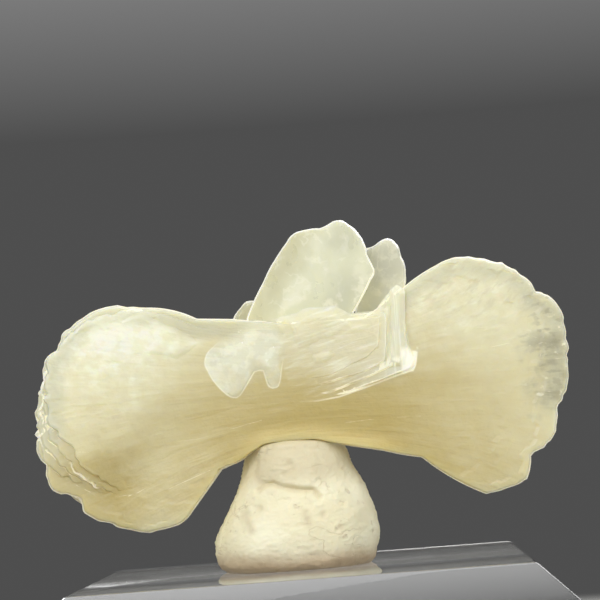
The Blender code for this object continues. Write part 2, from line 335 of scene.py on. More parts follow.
def putty_mesh():
    heights = np.linspace(PUTTY_LEVELS[0][0], PUTTY_LEVELS[-1][0], PUTTY_ROWS)
    left, right, half_depth = np.repeat(through(heights, PUTTY_LEVELS), PUTTY_SIDES, axis=0).T
    turn = np.tile(2 * math.pi * np.arange(PUTTY_SIDES) / PUTTY_SIDES, PUTTY_ROWS)
    x = (left + right) / 2 + (right - left) / 2 * np.cos(turn)
    y = half_depth * np.sin(turn)
    z = np.repeat(heights, PUTTY_SIDES)
    relief = np.array([lumps(*place) for place in zip(x, y, z)])
    from_roll = [(place - middle) / size
                 for place, middle, size in zip((x, z), PUTTY_ROLL_AT, PUTTY_ROLL_SIZE)]
    relief += PUTTY_ROLL * np.exp(-from_roll[0] ** 2 - from_roll[1] ** 2) * (y < 0)
    relief -= sum(share * depth for share, depth in fold_shares(np.column_stack([x, y, z])))
    reach = 1 + relief / half_depth
    points = np.column_stack([x * reach, y * reach, z])
    underside = tuple(reversed(range(PUTTY_SIDES)))
    upside = tuple(range(len(points) - PUTTY_SIDES, len(points)))
    faces = [underside, *ring_faces(PUTTY_ROWS, PUTTY_SIDES), upside]
    mesh = mesh_from("mounting_putty_lump", points, faces)
    store(mesh, "fold", np.max([share for share, _ in fold_shares(points)], axis=0))
    return smoothed(mesh, PUTTY_CREASE)


def tack():
    paint = Paint("cream_tack")
    x, y, z = paint.millimetres()
    smears = paint.between(paint.spots(260, 3), 0.35, 0.65)
    cream = paint.blend(smears, PUTTY_CREAM, PUTTY_SMEAR)
    wrinkles = paint.spots(1500, 5)
    rolls = paint.spots(420, 4)
    ridge = (paint.drawn(3, x * 0.55, y * 0.55, z * 0.9 + rolls * 0.6) - 0.5).squared() * 1000
    scratches = paint.between(ridge, 0.0, 0.12, 1, 0) * paint.between(paint.spots(300, 2), 0.5, 0.6)
    pits = paint.between(paint.spots(1300, 2), 0.66, 0.74)
    # Scratches and small pits are darker marks. The folds and pits of the front, from the stored fold
    # share, are darkened as painted shade in the creases.
    marks_and_crease_shade = scratches * 0.4 + pits * 0.45 + paint.stored("fold") * 0.4
    cream = paint.blend(marks_and_crease_shade, cream, PUTTY_MARK_AND_CREASE_SHADE)
    level = z + rolls * 2
    shaded = paint.between(level, 10.6, 13.0, 0.5, 0) + paint.between(level, 15.4, 17.0, 0, 0.75)
    cream = paint.blend(shaded, cream, PUTTY_SHADED)
    # The foot is darkened as a painted contact shadow.
    cream = paint.blend(paint.between(z + rolls, 10.2, 11.6, 0.85, 0), cream, PUTTY_FOOT_SHADOW)
    rough = paint.between(paint.spots(700, 3), 0.3, 0.7, 0.6, 0.82)
    height = wrinkles * 0.9 + rolls * 0.8 - marks_and_crease_shade * 0.6
    paint.set(Base_Color=cream, Metallic=0, Roughness=rough, Subsurface_Weight=0.2,
              Subsurface_Radius=(1.0, 0.7, 0.4), Subsurface_Scale=0.5 * MM,
              Normal=paint.bump(height, 0.7, 0.2 * MM))
    return paint


putty = show("mounting_putty_lump", putty_mesh(), tack())
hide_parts("mounting_putty")

# Stilbite bow tie: thin honey-coloured plates that grew side by side, tight in the waist and fanning
# out at both ends, with a short sheaf across the front and a milky crystal beside it. All of it grew
# together, and its waist is pressed into the putty.
EYE = (5.34, -145.74, 17.18)
WAIST_HALF_DEPTH = 2.8
WAIST_END = 4.0
FAN_START = 12.0
FAN_MIDDLES = (-0.7, -1.5)
FAN_THINNING = (1.0, 1.3)
PLATE_FLARE = 9.0
FAN_REACH = 14.0
FAN_CENTRE = 21.3
FLUSH_SINK = 0.04
FLUSH_START = 6.5
FLUSH_RUN = 8.0
SEAM_REACH = 4.0
PLATE_BLUNT = 0.08
RELIEF_EASE = 0.25
LATTICE = 64
CURVE_POINTS = 24
LOBE_LENGTH = 1.1
CRUMB_LENGTH = 0.35
NOTCH_EASE = 1.0
EVEN_STEPS = 32
EVEN_ROUNDS = 1500
EVEN_SHARE = 0.35
BODY_MESH = (150, 200)
BODY_RIM = 0.13
BODY_LENGTH = 34
BODY_TILED = 7
FAN_LENGTH = 16
FAN_TILED = 9
# Each set of ribs on a plate: its share of the height, and its waves across the plate and along it.
RIBS = [(1.0, 15, 2.2), (0.6, 37, 3.5), (0.35, 80, 5.0)]
RIB_HEIGHT = 0.015
TILE_BANDS = 24
TILE_LENGTH = 2.2
RIM_SHARES = (0, 0.33, 0.67)
RIM_SHIFT = 0.035
RIM_LINE = 0.135
FRONT_SIDE = -1.5
FAR = 3.0
CREASE = 38

# Outlines are drawn as the eye sees them from the front, in millimetres, as corners of (x, z, bow):
# the side that runs on to the next corner bows out by bow.
BODY_LEFT = [
    (-9.6, 27.2, 0.75), (-14.85, 26.0, 0.0), (-15.5, 24.8, 0.45), (-16.35, 22.9, 0.17),
    (-16.4, 21.9, 0.25), (-16.6, 20.3, 0.05), (-16.55, 19.65, 0.6), (-16.65, 17.35, 0.15),
    (-16.4, 15.9, 0.12), (-15.6, 15.4, 0.0), (-14.4, 14.95, 0.1), (-14.3, 14.0, 0.1),
    (-12.5, 13.1, 0.42), (-8.4, 12.75, 0.0),
]
BODY_UNDER = [
    (-8.4, 12.75, 0.12), (-7.3, 13.5, 0.0), (-5.05, 16.3, 0.08), (-3.45, 16.85, -0.05),
    (-2.0, 17.6, 0.0), (1.0, 17.65, 0.0), (3.1, 17.15, 0.0), (5.6, 16.6, 0.05),
    (8.0, 16.0, 0.2), (12.0, 13.3, 0.0),
]
BODY_RIGHT = [
    (12.0, 13.3, 0.1), (14.75, 14.0, 0.12), (15.05, 15.6, 0.75), (17.05, 18.5, 0.42),
    (17.95, 21.9, 0.15), (18.0, 23.0, 0.2), (17.6, 25.3, 0.2), (16.35, 26.3, 0.2),
    (15.45, 27.5, 0.18), (13.0, 28.7, 0.35), (10.0, 28.5, 0.0),
]
BODY_TOP = [
    (10.0, 28.5, 0.08), (7.7, 27.2, 0.0), (5.0, 25.4, 0.0), (1.0, 25.3, 0.0), (-3.7, 26.0, 0.0),
    (-6.0, 26.2, 0.25), (-9.6, 27.2, 0.0),
]


def smooth(t):
    """A soft step from 0 to 1 as t runs from 0 to 1."""
    t = np.clip(t, 0, 1)
    return t * t * (3 - 2 * t)


def grain(a, b, seed):
    """Smooth random values from -1 to 1 over the plane (a, b)."""
    lattice = np.random.default_rng(seed).uniform(-1, 1, (LATTICE, LATTICE))
    i, j = np.floor(a).astype(int), np.floor(b).astype(int)
    s, t = smooth(a - i), smooth(b - j)
    i, j, beyond, above = i % LATTICE, j % LATTICE, (i + 1) % LATTICE, (j + 1) % LATTICE
    low = lattice[i, j] * (1 - s) + lattice[beyond, j] * s
    high = lattice[i, above] * (1 - s) + lattice[beyond, above] * s
    return low * (1 - t) + high * t


def chain(corners, shares):
    """Points at those shares of the length of a chain of bowed sides."""
    dense = []
    for (x0, z0, bow), (x1, z1, _) in zip(corners, corners[1:]):
        t = np.linspace(0, 1, CURVE_POINTS, endpoint=False)[:, None]
        side = np.array((x1 - x0, z1 - z0))
        out = np.array((side[1], -side[0])) / math.hypot(*side)
        dense.append(np.array((x0, z0)) + side * t + out * (4 * bow * t * (1 - t)))
    dense = np.vstack(dense + [np.array([corners[-1][:2]])])
    run = np.concatenate([[0], np.cumsum(np.hypot(*np.diff(dense, axis=0).T))])
    return np.column_stack([np.interp(shares * run[-1], run, dense[:, k]) for k in (0, 1)])


def notched(points, seed, lobes, crumbs):
    """A rim with the small lobes and crumbs in which its plates end, none at its two ends."""
    along = np.gradient(points, axis=0)
    out = np.column_stack([along[:, 1], -along[:, 0]]) / np.hypot(*along.T)[:, None]
    run = np.cumsum(np.hypot(*along.T))
    push = lobes * np.abs(grain(run / LOBE_LENGTH, 0 * run, seed))
    push = push + crumbs * grain(run / CRUMB_LENGTH, 0 * run, seed + 1)
    ease = np.clip(np.minimum(run - run[0], run[-1] - run) / NOTCH_EASE, 0, 1)
    return points - out * (push * ease)[:, None]


def nearness(points):
    """How far from the eye points stand, as a share of the way to the outlines' own plane."""
    return (np.minimum(points[:, 1:2], 0) - EYE[1]) / -EYE[1]


def as_seen(points):
    """Draws in what stands nearer to the eye than the outlines' own plane."""
    middle = np.array(EYE)[[0, 2]]
    flat = middle + (points[:, [0, 2]] - middle) * nearness(points)
    return np.column_stack([flat[:, 0], points[:, 1], flat[:, 1]])


def flat_view(points):
    """Where the eye sees points on the outlines' own plane: as_seen turned round."""
    middle = np.array(EYE)[[0, 2]]
    return middle + (points[:, [0, 2]] - middle) / nearness(points)


def patch(sides, u, t):
    """A plane grid stretched between four chains of points, at those shares along and across."""
    left, under, right, top = sides
    u, t = u[:, None, None], t[None, :, None]
    flat = (1 - t) * top[:, None] + t * under[:, None] + (1 - u) * left[None] + u * right[None]
    flat = flat - (1 - t) * ((1 - u) * top[0] + u * top[-1])
    return flat - t * ((1 - u) * under[0] + u * under[-1])


def relaxed(sides, u, t):
    """The same grid with its lines evened out, so that none leaves the outline."""
    even = np.linspace(0, 1, EVEN_STEPS + 1)
    coarse = [np.column_stack([np.interp(even, own, side[:, k]) for k in (0, 1)])
              for side, own in zip(sides, (t, u, t, u))]
    start = patch(coarse, even, even)
    grid = start.copy()
    for _ in range(EVEN_ROUNDS):
        grid[1:-1, 1:-1] = (grid[2:, 1:-1] + grid[:-2, 1:-1] + grid[1:-1, 2:] + grid[1:-1, :-2]) / 4
    shift = grid - start
    i, j = [np.minimum((run * EVEN_STEPS).astype(int), EVEN_STEPS - 1) for run in (u, t)]
    a, b = (u * EVEN_STEPS - i)[:, None, None], (t * EVEN_STEPS - j)[None, :, None]
    low = shift[i][:, j] * (1 - a) + shift[i + 1][:, j] * a
    high = shift[i][:, j + 1] * (1 - a) + shift[i + 1][:, j + 1] * a
    return patch(sides, u, t) + low * (1 - b) + high * b


def fibre_plate(name, sides, u, t, middle, half, rim, relief):
    """A plate whose fibres run from its left side to its right side, as a closed mesh.

    u and t are the shares along and across the fibres at which it has points. The sides are chains
    sampled at them: left and right from the top down, top and under from the left."""
    left, under, right, top = sides
    flat = relaxed(sides, u, t)
    border = np.vstack([left, under[1:], right[::-1][1:], top[::-1][1:]])
    x, z = flat[..., 0], flat[..., 1]
    deep = distance_to(flat.reshape(-1, 2), border).reshape(x.shape)
    swell = np.sqrt(1 - (1 - np.clip(deep / rim, 0, 1)) ** 2)
    thick = PLATE_BLUNT + (half(x, z) - PLATE_BLUNT) * swell
    ease = np.clip(deep / RELIEF_EASE, 0, 1)
    along, over = np.broadcast_arrays(u[:, None], t[None, :])
    front = middle(x, z) - thick - relief(along, over, 0) * ease
    back = middle(x, z) + thick + relief(along, over, 7) * ease
    points = np.concatenate([np.dstack([x, y, z]).reshape(-1, 3) for y in (front, back)])
    rows, columns = x.shape
    number = np.arange(rows * columns).reshape(rows, columns)
    corners = number[:-1, :-1], number[:-1, 1:], number[1:, 1:], number[1:, :-1]
    faces = np.dstack(corners).reshape(-1, 4)
    behind = rows * columns
    ring = np.concatenate([number[0, :], number[1:, -1], number[-1, ::-1][1:], number[::-1, 0][1:-1]])
    following = np.roll(ring, -1)
    strip = np.column_stack([ring, ring + behind, following + behind, following])
    faces = np.vstack([faces, faces[:, ::-1] + behind, strip])
    return mesh_from(name, as_seen(points), faces.tolist())


def towards_fan(x):
    """0 in the waist, rising to 1 where the fans are full."""
    return smooth((np.abs(x) - WAIST_END) / (FAN_START - WAIST_END))


def body_middle(x):
    """The depth at which the body's middle lies, nearer to the front in the fans."""
    return towards_fan(x) * np.where(x < 0, *FAN_MIDDLES)


def body_half(x):
    """Half the body's thickness, which is greatest in the waist."""
    return WAIST_HALF_DEPTH - towards_fan(x) * np.where(x < 0, *FAN_THINNING)


def spread(x):
    """How far the plates stand apart, as a share of what they do in the fans: least at the waist."""
    return np.sqrt((1 + (x / PLATE_FLARE) ** 2) / (1 + (FAN_REACH / PLATE_FLARE) ** 2))


def behind(depth):
    """Where a plate lies that grew behind the body's middle, closest to it in the waist."""
    return lambda x, z: depth * spread(x)


def seam_share(fan, x, z):
    """0 on the side of a front plate that merges into the body, rising to 1 well away from it."""
    seam = np.array([corner[:2] for corner in fan[1]])
    away = distance_to(np.column_stack([x.ravel(), z.ravel()]), seam).reshape(x.shape)
    return smooth(away / SEAM_REACH)


def standing(fan, half, stand):
    """Where a plate lies on the body's front skin: its outer rim stands out, the rest lies flush."""
    def middle(x, z):
        out = stand * smooth((np.abs(x) - FLUSH_START) / FLUSH_RUN) * seam_share(fan, x, z)
        return body_middle(x) - body_half(x) + half + FLUSH_SINK - out
    return middle


def fibres(u, t, seed):
    """Ribs along the fibres: long, narrow and irregular."""
    return RIB_HEIGHT * sum(share * grain(t * across, u * along, seed + k)
                            for k, (share, across, along) in enumerate(RIBS))


def shingles(distance, t, seed, height):
    """Plate ends lying on one another like tiles, each with a small cliff towards the rim."""
    band = np.floor(t * TILE_BANDS + 1.5 * grain(t * 7, distance * 0.3, seed)).astype(int)
    start = np.random.default_rng(seed).uniform(0, 1, 256)[band % 256]
    return height * np.mod(distance / TILE_LENGTH + start, 1.0)


def ribbed(distance, reach, u, t, seed, height):
    """A plate's skin: ribs all over, and tiled ends of that height within reach of its rim."""
    near = np.clip(1 - distance / reach, 0, 1)
    return fibres(u, t, seed) + near * shingles(distance, t, seed + 3, height)


def bunched(count, curve):
    """Shares from 0 to 1, closer together where the curve is flat."""
    even = np.linspace(0, 1, count)
    return EVEN_SHARE * even + (1 - EVEN_SHARE) * curve(even)


def body(outlines):
    """The thick plate that makes up most of the sheaf, from one fan's rim to the other's."""
    u = bunched(BODY_MESH[0], lambda share: 0.5 - 0.5 * np.cos(math.pi * share))
    t = np.linspace(0, 1, BODY_MESH[1])
    left = notched(chain(BODY_LEFT, t), 11, 0.09, 0.06)
    right = notched(chain(BODY_RIGHT, t), 12, 0.1, 0.06)[::-1]
    under = chain(BODY_UNDER, u)
    top = chain(BODY_TOP, 1 - u)
    outlines.extend((left, right, under, top))

    def relief(u, t, side):
        return ribbed(np.minimum(u, 1 - u) * BODY_LENGTH, BODY_TILED, u * 2, t, 20 + side, 0.08)

    return fibre_plate("body", (left, under, right, top), u, t, lambda x, z: body_middle(x),
                       lambda x, z: body_half(x), BODY_RIM, relief)


# The plates of the left fan's front, from the top one down, then the leaves behind each fan: the outer
# rim, the side that follows it into the waist, and the side that comes back from there.
LEFT_PILLOW = (
    [(-9.6, 27.0, 0.5), (-14.6, 25.9, 0.5), (-16.4, 22.6, 0.1), (-16.4, 20.6, 0.1), (-15.9, 19.6, 0.1),
     (-15.0, 18.5, -0.1), (-14.6, 17.2, 0.1), (-13.6, 16.5, 0.0), (-12.9, 15.95, 0.1), (-12.2, 15.35, 0.1),
     (-11.0, 15.05, 0.0)],
    [(-11.0, 15.05, 0.15), (-9.1, 16.15, 0.0), (-7.6, 18.0, 0.0), (-4.8, 18.5, 0.0), (-1.5, 19.3, 0.0)],
    [(-1.5, 24.6, 0.0), (-6.0, 25.7, 0.2), (-9.6, 27.0, 0.0)],
)
LEFT_SKIRT = (
    [(-9.6, 26.8, 0.5), (-15.2, 25.2, 0.5), (-16.65, 21.0, 0.1), (-16.3, 19.3, 0.1), (-15.9, 18.3, 0.0),
     (-15.2, 17.6, 0.1), (-14.5, 16.5, 0.1), (-13.4, 15.6, 0.0), (-12.2, 14.95, 0.1), (-11.2, 14.85, 0.0)],
    [(-11.2, 14.85, 0.2), (-8.8, 15.9, 0.0), (-5.0, 18.2, 0.0), (-1.5, 19.2, 0.0)],
    [(-1.5, 24.4, 0.0), (-6.0, 25.5, 0.2), (-9.6, 26.8, 0.0)],
)
LEFT_UPPER_STEP = (
    [(-9.4, 26.4, 0.5), (-15.5, 24.6, 0.5), (-16.7, 21.0, 0.2), (-16.9, 19.0, 0.1),
     (-16.3, 18.1, 0.1), (-15.5, 17.0, 0.0), (-14.2, 16.0, 0.1), (-12.2, 14.75, 0.0)],
    [(-12.2, 14.75, 0.2), (-8.8, 15.3, 0.0), (-4.0, 18.0, 0.0), (-1.5, 19.1, 0.0)],
    [(-1.5, 24.0, 0.0), (-9.4, 26.4, 0.0)],
)
LEFT_LOWER_STEP = (
    [(-9.4, 25.8, 0.5), (-15.8, 23.8, 0.5), (-17.1, 19.0, 0.2), (-16.6, 17.4, 0.1),
     (-15.6, 16.5, 0.0), (-14.0, 15.45, 0.0), (-12.4, 14.7, 0.0)],
    [(-12.4, 14.7, 0.3), (-8.6, 15.0, 0.0), (-6.0, 16.0, 0.0), (-4.6, 16.9, 0.0), (-1.5, 18.7, 0.0)],
    [(-1.5, 23.6, 0.0), (-9.4, 25.8, 0.0)],
)
LEFT_LEAF = (
    [(-8.5, 26.3, 0.6), (-14.2, 26.0, 0.3), (-15.9, 23.9, 0.3), (-16.4, 21.2, 0.4),
     (-16.7, 18.3, 0.4), (-15.9, 15.9, 0.2), (-13.7, 14.2, 0.4), (-9.4, 13.6, 0.0)],
    [(-9.4, 13.6, 0.2), (-7.4, 14.9, 0.0), (-5.2, 17.2, 0.0), (-1.0, 19.0, 0.0)],
    [(-1.0, 24.0, 0.0), (-8.5, 26.3, 0.0)],
)
RIGHT_LEAF = (
    [(11.8, 14.2, 0.3), (14.4, 14.8, 0.3), (16.2, 17.2, 0.4), (17.4, 20.3, 0.3),
     (17.7, 23.0, 0.3), (16.8, 25.6, 0.4), (15.0, 27.4, 0.4), (11.4, 28.2, 0.0)],
    [(11.4, 28.2, 0.3), (7.6, 26.4, 0.0), (1.0, 23.9, 0.0)],
    [(1.0, 19.0, 0.0), (7.0, 17.6, 0.0), (11.8, 14.2, 0.0)],
)
PILLOW_CROWN = (-10.5, 21.5)
PILLOW_SIZE = (7.5, 7.2)
SLAB_STEP = 0.2
SLAB_BLUNT = 0.048
RING_SHARES = (0.35, 1.0)
RING_KEPT = 0.93
ROW_STEP = 0.87
CRUMB_STEP = 0.5
CREST_BACK = 0.06


def turned(fan, degrees, shrink):
    """A fan's chains turned about the waist and drawn in towards it, as its next plate."""
    c, s = math.cos(math.radians(degrees)) * shrink, math.sin(math.radians(degrees)) * shrink
    return [[(x * c - (z - FAN_CENTRE) * s, FAN_CENTRE + x * s + (z - FAN_CENTRE) * c, bow)
             for x, z, bow in side] for side in fan]


def fan_plate(rims, name, fan, middle, half, seed, mesh=(56, 110), rim=0.4, dome=0.0, height=0.06,
              lobes=0.12, crumbs=0.04):
    """A plate of one fan, whose middle lies where the function says, diving into the waist."""
    outer, after, before = fan
    rightwards = outer[0][0] > 0
    t = np.linspace(0, 1, mesh[1])
    fringe = notched(chain(outer, t), seed, lobes, crumbs)
    if rightwards:
        u = bunched(mesh[0], lambda share: np.sin(math.pi / 2 * share))
        buried = np.linspace(after[-1][:2], before[0][:2], mesh[1])
        sides = buried, chain(before, u), fringe[::-1], chain(after, 1 - u)
    else:
        u = bunched(mesh[0], lambda share: 1 - np.cos(math.pi / 2 * share))
        buried = np.linspace(before[0][:2], after[-1][:2], mesh[1])
        sides = fringe, chain(after, u), buried, chain(before, 1 - u)

    def thick(x, z):
        if not dome:
            return half
        across, up = [(place - crown) / size
                      for place, crown, size in zip((x, z), PILLOW_CROWN, PILLOW_SIZE)]
        return half + dome * np.clip(1 - across ** 2 - up ** 2, 0, 1) * seam_share(fan, x, z)

    def relief(u, t, side):
        run = 1 - u if rightwards else u
        return ribbed(run * FAN_LENGTH, FAN_TILED, u, t, seed + side, height)

    x, z = fringe.T
    rims.append(as_seen(np.column_stack([x, middle(x, z), z])))
    return fibre_plate(name, sides, u, t, middle, thick, rim, relief)


def outlined(corners, step):
    """Points about step apart along the closed outline that the corners give."""
    sides = []
    for start, end in zip(corners, corners[1:] + corners[:1]):
        count = max(1, round(math.dist(start[:2], end[:2]) / step))
        sides.append(chain([start, end], np.linspace(0, 1, 1 + count))[:-1])
    return np.vstack(sides)


def depth_inside(points, outline):
    """How far each point lies inside the closed outline, below zero where it is outside."""
    ends = np.roll(outline, -1, axis=0)
    x, z = points[:, :1], points[:, 1:]
    rise = np.where(ends[:, 1] == outline[:, 1], 1, ends[:, 1] - outline[:, 1])
    left = x - outline[:, 0] < (ends[:, 0] - outline[:, 0]) * (z - outline[:, 1]) / rise
    passes = (outline[:, 1] > z) != (ends[:, 1] > z)
    inside = (passes & left).sum(1) % 2 == 1
    away = distance_to(points, np.vstack([outline, outline[:1]]))
    return np.where(inside, away, -away)


def filled(outline, inward, rim, step):
    """Points, triangles and border of a filled outline, with two rings of points along its rim."""
    rings = [outline]
    for share in RING_SHARES:
        moved = outline + inward * (share * rim)
        rings.append(moved[depth_inside(moved, outline) > RING_KEPT * share * rim])
    low, high = outline.min(0), outline.max(0)
    rows = np.arange(low[1], high[1], step * ROW_STEP)
    grid = np.array([(x + (row % 2) * step / 2, z) for row, z in enumerate(rows)
                     for x in np.arange(low[0], high[0], step)])
    rings.append(grid[depth_inside(grid, outline) > rim + 0.5 * step])
    border = [(i, (i + 1) % len(outline)) for i in range(len(outline))]
    points = [Vector(point) for point in np.vstack(rings)]
    flat, _, triangles, *_ = delaunay_2d_cdt(points, border, [], 1, 1e-5)
    return np.array(flat), triangles, border


def slab(rims, name, corners, seed, y, half, rim, lean=0.0, swing=0.0, crumbs=0.03, ripple=0.03,
         dome=0.0, step=SLAB_STEP, rounded=False):
    """A tablet at depth y with a bevelled or rounded rim, leaning back by lean and turned by swing."""
    outline = outlined(corners, step)
    along = np.roll(outline, -1, axis=0) - np.roll(outline, 1, axis=0)
    inward = np.column_stack([-along[:, 1], along[:, 0]]) / np.hypot(*along.T)[:, None]
    run = np.cumsum(np.hypot(*along.T)) / 2
    crumbled = crumbs * (1 + grain(run / CRUMB_STEP, 0 * run, seed))
    outline = outline + inward * crumbled[:, None]
    low, high = outline.min(0), outline.max(0)
    flat, triangles, border = filled(outline, inward, rim, step)
    x, z = flat.T
    deep = np.clip(depth_inside(flat, outline), 0, None)
    deep[:len(outline)] = 0
    rise = np.clip(deep / rim, 0, 1)
    if rounded:
        rise = np.sqrt(1 - (1 - rise) ** 2)
    across, up = (flat - (low + high) / 2).T / (high - low)[:, None] * 2
    crown = np.clip(1 - across ** 2 - up ** 2, 0, 1)

    def middle(x, z):
        return y + lean * (z - low[1]) + swing * x

    thick = SLAB_BLUNT + (half - SLAB_BLUNT) * rise + dome * crown * rise
    waves = grain(x * 0.9, z * 0.45, seed + 2) + 0.5 * grain(x * 2.6, z * 1.1, seed + 3)
    bumps = ripple * rise * waves
    front = np.column_stack([x, middle(x, z) - thick - bumps, z])
    back = np.column_stack([x, middle(x, z) + thick + bumps, z])
    behind = len(flat)
    faces = [tuple(corner) for corner in triangles]
    faces += [tuple(behind + i for i in reversed(corner)) for corner in triangles]
    faces += [(i, behind + i, behind + j, j) for i, j in border]
    crest = outline + inward * rim
    crest = crest[depth_inside(crest, outline) > RING_KEPT * rim]
    x, z = crest.T
    rims.append(np.column_stack([x, middle(x, z) - half + CREST_BACK, z]))
    return mesh_from(name, np.vstack([front, back]), faces)


# The outlines of the tablets on the front: a ledge, the plates of the short sheaf and the crystal.
FROSTED_LEDGE = [
    (-6.2, 23.95, 0.05), (-5.6, 24.45, 0.05), (-6.5, 25.3, 0.05), (-8.2, 26.1, 0.1), (-9.3, 26.7, 0.1),
    (-11.8, 26.4, 0.4), (-12.6, 25.0, 0.2), (-11.6, 24.1, 0.1), (-10.3, 23.75, 0.0), (-8.8, 23.75, -0.03),
    (-7.3, 23.5, 0.05),
]
CROSS_REAR = [
    (0.05, 20.2, 0.0), (1.45, 20.1, 0.0), (3.05, 20.28, 0.0), (4.7, 20.73, 0.0), (7.65, 21.6, 0.1),
    (8.0, 22.2, 0.0), (7.7, 23.3, 0.0), (7.62, 25.1, 0.0), (7.7, 26.7, 0.1), (7.1, 27.1, 0.0),
    (6.4, 26.5, 0.0), (5.6, 25.5, 0.0), (0.6, 25.5, 0.0), (-0.8, 24.0, 0.0),
]
CROSS_SECOND = [
    (1.0, 20.38, 0.0), (2.45, 20.48, 0.0), (3.75, 20.93, 0.0), (5.9, 21.65, 0.0), (6.9, 22.1, 0.1),
    (7.0, 26.2, 0.0), (5.8, 25.7, 0.0), (0.4, 25.4, 0.0), (-0.3, 23.0, 0.0),
]
CROSS_THIRD = [
    (1.7, 21.0, 0.0), (2.5, 21.2, 0.0), (3.8, 21.43, 0.0), (4.8, 21.67, 0.0), (6.2, 22.3, 0.1),
    (6.5, 25.6, 0.0), (0.6, 25.2, 0.0), (0.2, 23.0, 0.0),
]
CROSS_FOURTH = [
    (0.84, 21.41, 0.0), (2.2, 21.47, 0.0), (3.5, 21.84, 0.0), (4.0, 22.12, 0.0), (5.2, 22.6, 0.0),
    (5.9, 23.2, 0.1), (6.1, 25.4, 0.0), (0.4, 25.2, 0.0), (0.1, 23.2, 0.0),
]
CROSS_FLAKE = [
    (1.35, 22.25, 0.0), (2.1, 22.3, 0.0), (2.7, 22.5, 0.05), (3.5, 23.1, 0.0), (2.6, 23.6, 0.0),
    (1.0, 23.3, 0.0),
]
CROSS_UPPER = [
    (0.12, 23.4, 0.05), (0.57, 23.08, 0.05), (1.4, 23.36, 0.0), (2.05, 23.63, 0.0), (3.0, 23.8, 0.05),
    (4.9, 23.8, 0.05), (5.7, 23.5, 0.0), (6.15, 23.15, 0.0), (6.3, 24.6, 0.0), (6.35, 26.0, 0.0),
    (5.8, 25.75, 0.0), (5.05, 25.4, 0.0), (4.3, 25.4, 0.1), (3.2, 26.14, 0.08), (1.1, 26.15, 0.0),
    (0.6, 25.9, 0.1), (-0.84, 25.6, 0.0), (-0.2, 24.6, 0.0),
]
BUNDLE = [
    (6.0, 21.9, 0.0), (7.3, 21.7, 0.05), (7.7, 22.6, 0.0), (7.55, 23.8, 0.0), (7.65, 25.3, 0.0),
    (7.75, 26.7, 0.1), (7.2, 27.2, 0.0), (6.75, 26.9, 0.0), (6.35, 26.1, 0.0), (6.25, 24.0, 0.0),
]
TIP = [
    (7.1, 22.25, 0.0), (7.3, 21.6, 0.0), (7.8, 21.57, 0.05), (8.08, 22.2, 0.0), (8.22, 23.05, 0.0),
    (7.88, 22.55, 0.0), (7.55, 22.65, 0.0), (7.25, 22.95, 0.0),
]
MILKY_CRYSTAL = [
    (-2.27, 25.64, 0.05), (-3.77, 24.88, 0.05), (-4.94, 24.1, 0.08), (-5.47, 23.42, 0.1),
    (-5.37, 22.61, 0.03), (-4.96, 21.78, 0.03), (-4.22, 20.93, 0.06), (-3.6, 20.69, 0.06),
    (-3.09, 21.16, 0.0), (-2.55, 21.91, -0.02), (-2.28, 22.29, -0.03), (-1.8, 22.33, 0.0),
    (-1.62, 21.52, 0.03), (-1.41, 21.16, 0.06), (-0.85, 21.22, 0.05), (-0.59, 22.08, 0.0),
    (-0.4, 22.86, 0.0), (-0.09, 23.8, 0.05), (-0.12, 24.44, 0.08), (-0.7, 25.28, 0.1),
]
# The thin plates seen edge-on in the bundle, as the places that their edges run through.
LAMELLAE = [
    [(6.5, -2.78, 26.2), (6.52, -2.9, 25.0), (6.35, -3.0, 23.5), (5.75, -3.05, 21.9)],
    [(6.85, -2.78, 26.9), (6.82, -2.93, 24.8), (6.6, -3.08, 23.2), (6.1, -3.1, 21.85)],
    [(6.98, -2.83, 25.4), (6.9, -2.98, 24.2), (6.72, -3.08, 22.9), (6.4, -3.1, 21.9)],
    [(7.22, -2.78, 27.1), (7.2, -2.98, 25.2), (7.05, -3.08, 23.4), (6.65, -3.1, 21.9)],
    [(7.42, -2.78, 26.0), (7.38, -2.93, 24.7), (7.24, -3.08, 23.5), (6.95, -3.1, 22.0)],
]
LAMELLA_HALF = (0.13, 0.17)
LAMELLA_MESH = (60, 14)


def lamella(rims, name, corners):
    """A thin plate seen edge-on, its edge running down through the corners."""
    rows, sides = LAMELLA_MESH
    t = np.linspace(0, 1, rows)
    path = through(t, np.column_stack([np.linspace(0, 1, len(corners)), corners]))
    taper = np.sqrt(np.clip(1 - (2 * t - 1) ** 8, 0.02, 1))
    turns = np.linspace(0, 2 * math.pi, sides, endpoint=False)
    section = np.column_stack([np.cos(turns), np.sin(turns)])
    section = np.sign(section) * np.abs(section) ** 0.6
    points = [(x + LAMELLA_HALF[0] * width * a, y + LAMELLA_HALF[1] * width * b, z)
              for (x, y, z), width in zip(path, taper) for a, b in section]
    faces = [tuple(range(sides)), tuple(reversed(range(len(points) - sides, len(points))))]
    faces += [(b, a, d, c) for a, b, c, d in ring_faces(rows, sides)]
    rims.append(path + np.array((0, -LAMELLA_HALF[1], 0)))
    return mesh_from(name, np.array(points), faces)


def cross_plates(rims):
    """The short sheaf across the front of the waist: lying plates, an upright bundle and its tip."""
    plates = [
        slab(rims, "rear", CROSS_REAR, 301, -2.1, 0.4, 0.15, swing=-0.0925),
        slab(rims, "second", CROSS_SECOND, 304, -2.2, 0.38, 0.14, swing=-0.098),
        slab(rims, "third", CROSS_THIRD, 307, -2.24, 0.36, 0.13, swing=-0.126),
        slab(rims, "fourth", CROSS_FOURTH, 310, -2.32, 0.33, 0.2, swing=-0.131),
        slab([], "flake", CROSS_FLAKE, 313, -2.44, 0.25, 0.4, swing=-0.13),
        slab(rims, "upper", CROSS_UPPER, 316, -2.47, 0.35, 0.6, swing=-0.1, crumbs=0.06),
        slab([], "bundle", BUNDLE, 322, -2.55, 0.4, 0.4, swing=-0.06),
        slab(rims, "tip", TIP, 319, -3.3, 0.3, 0.1, crumbs=0.08, step=0.1),
    ]
    return plates + [lamella(rims, f"lamella_{k}", corners) for k, corners in enumerate(LAMELLAE)]


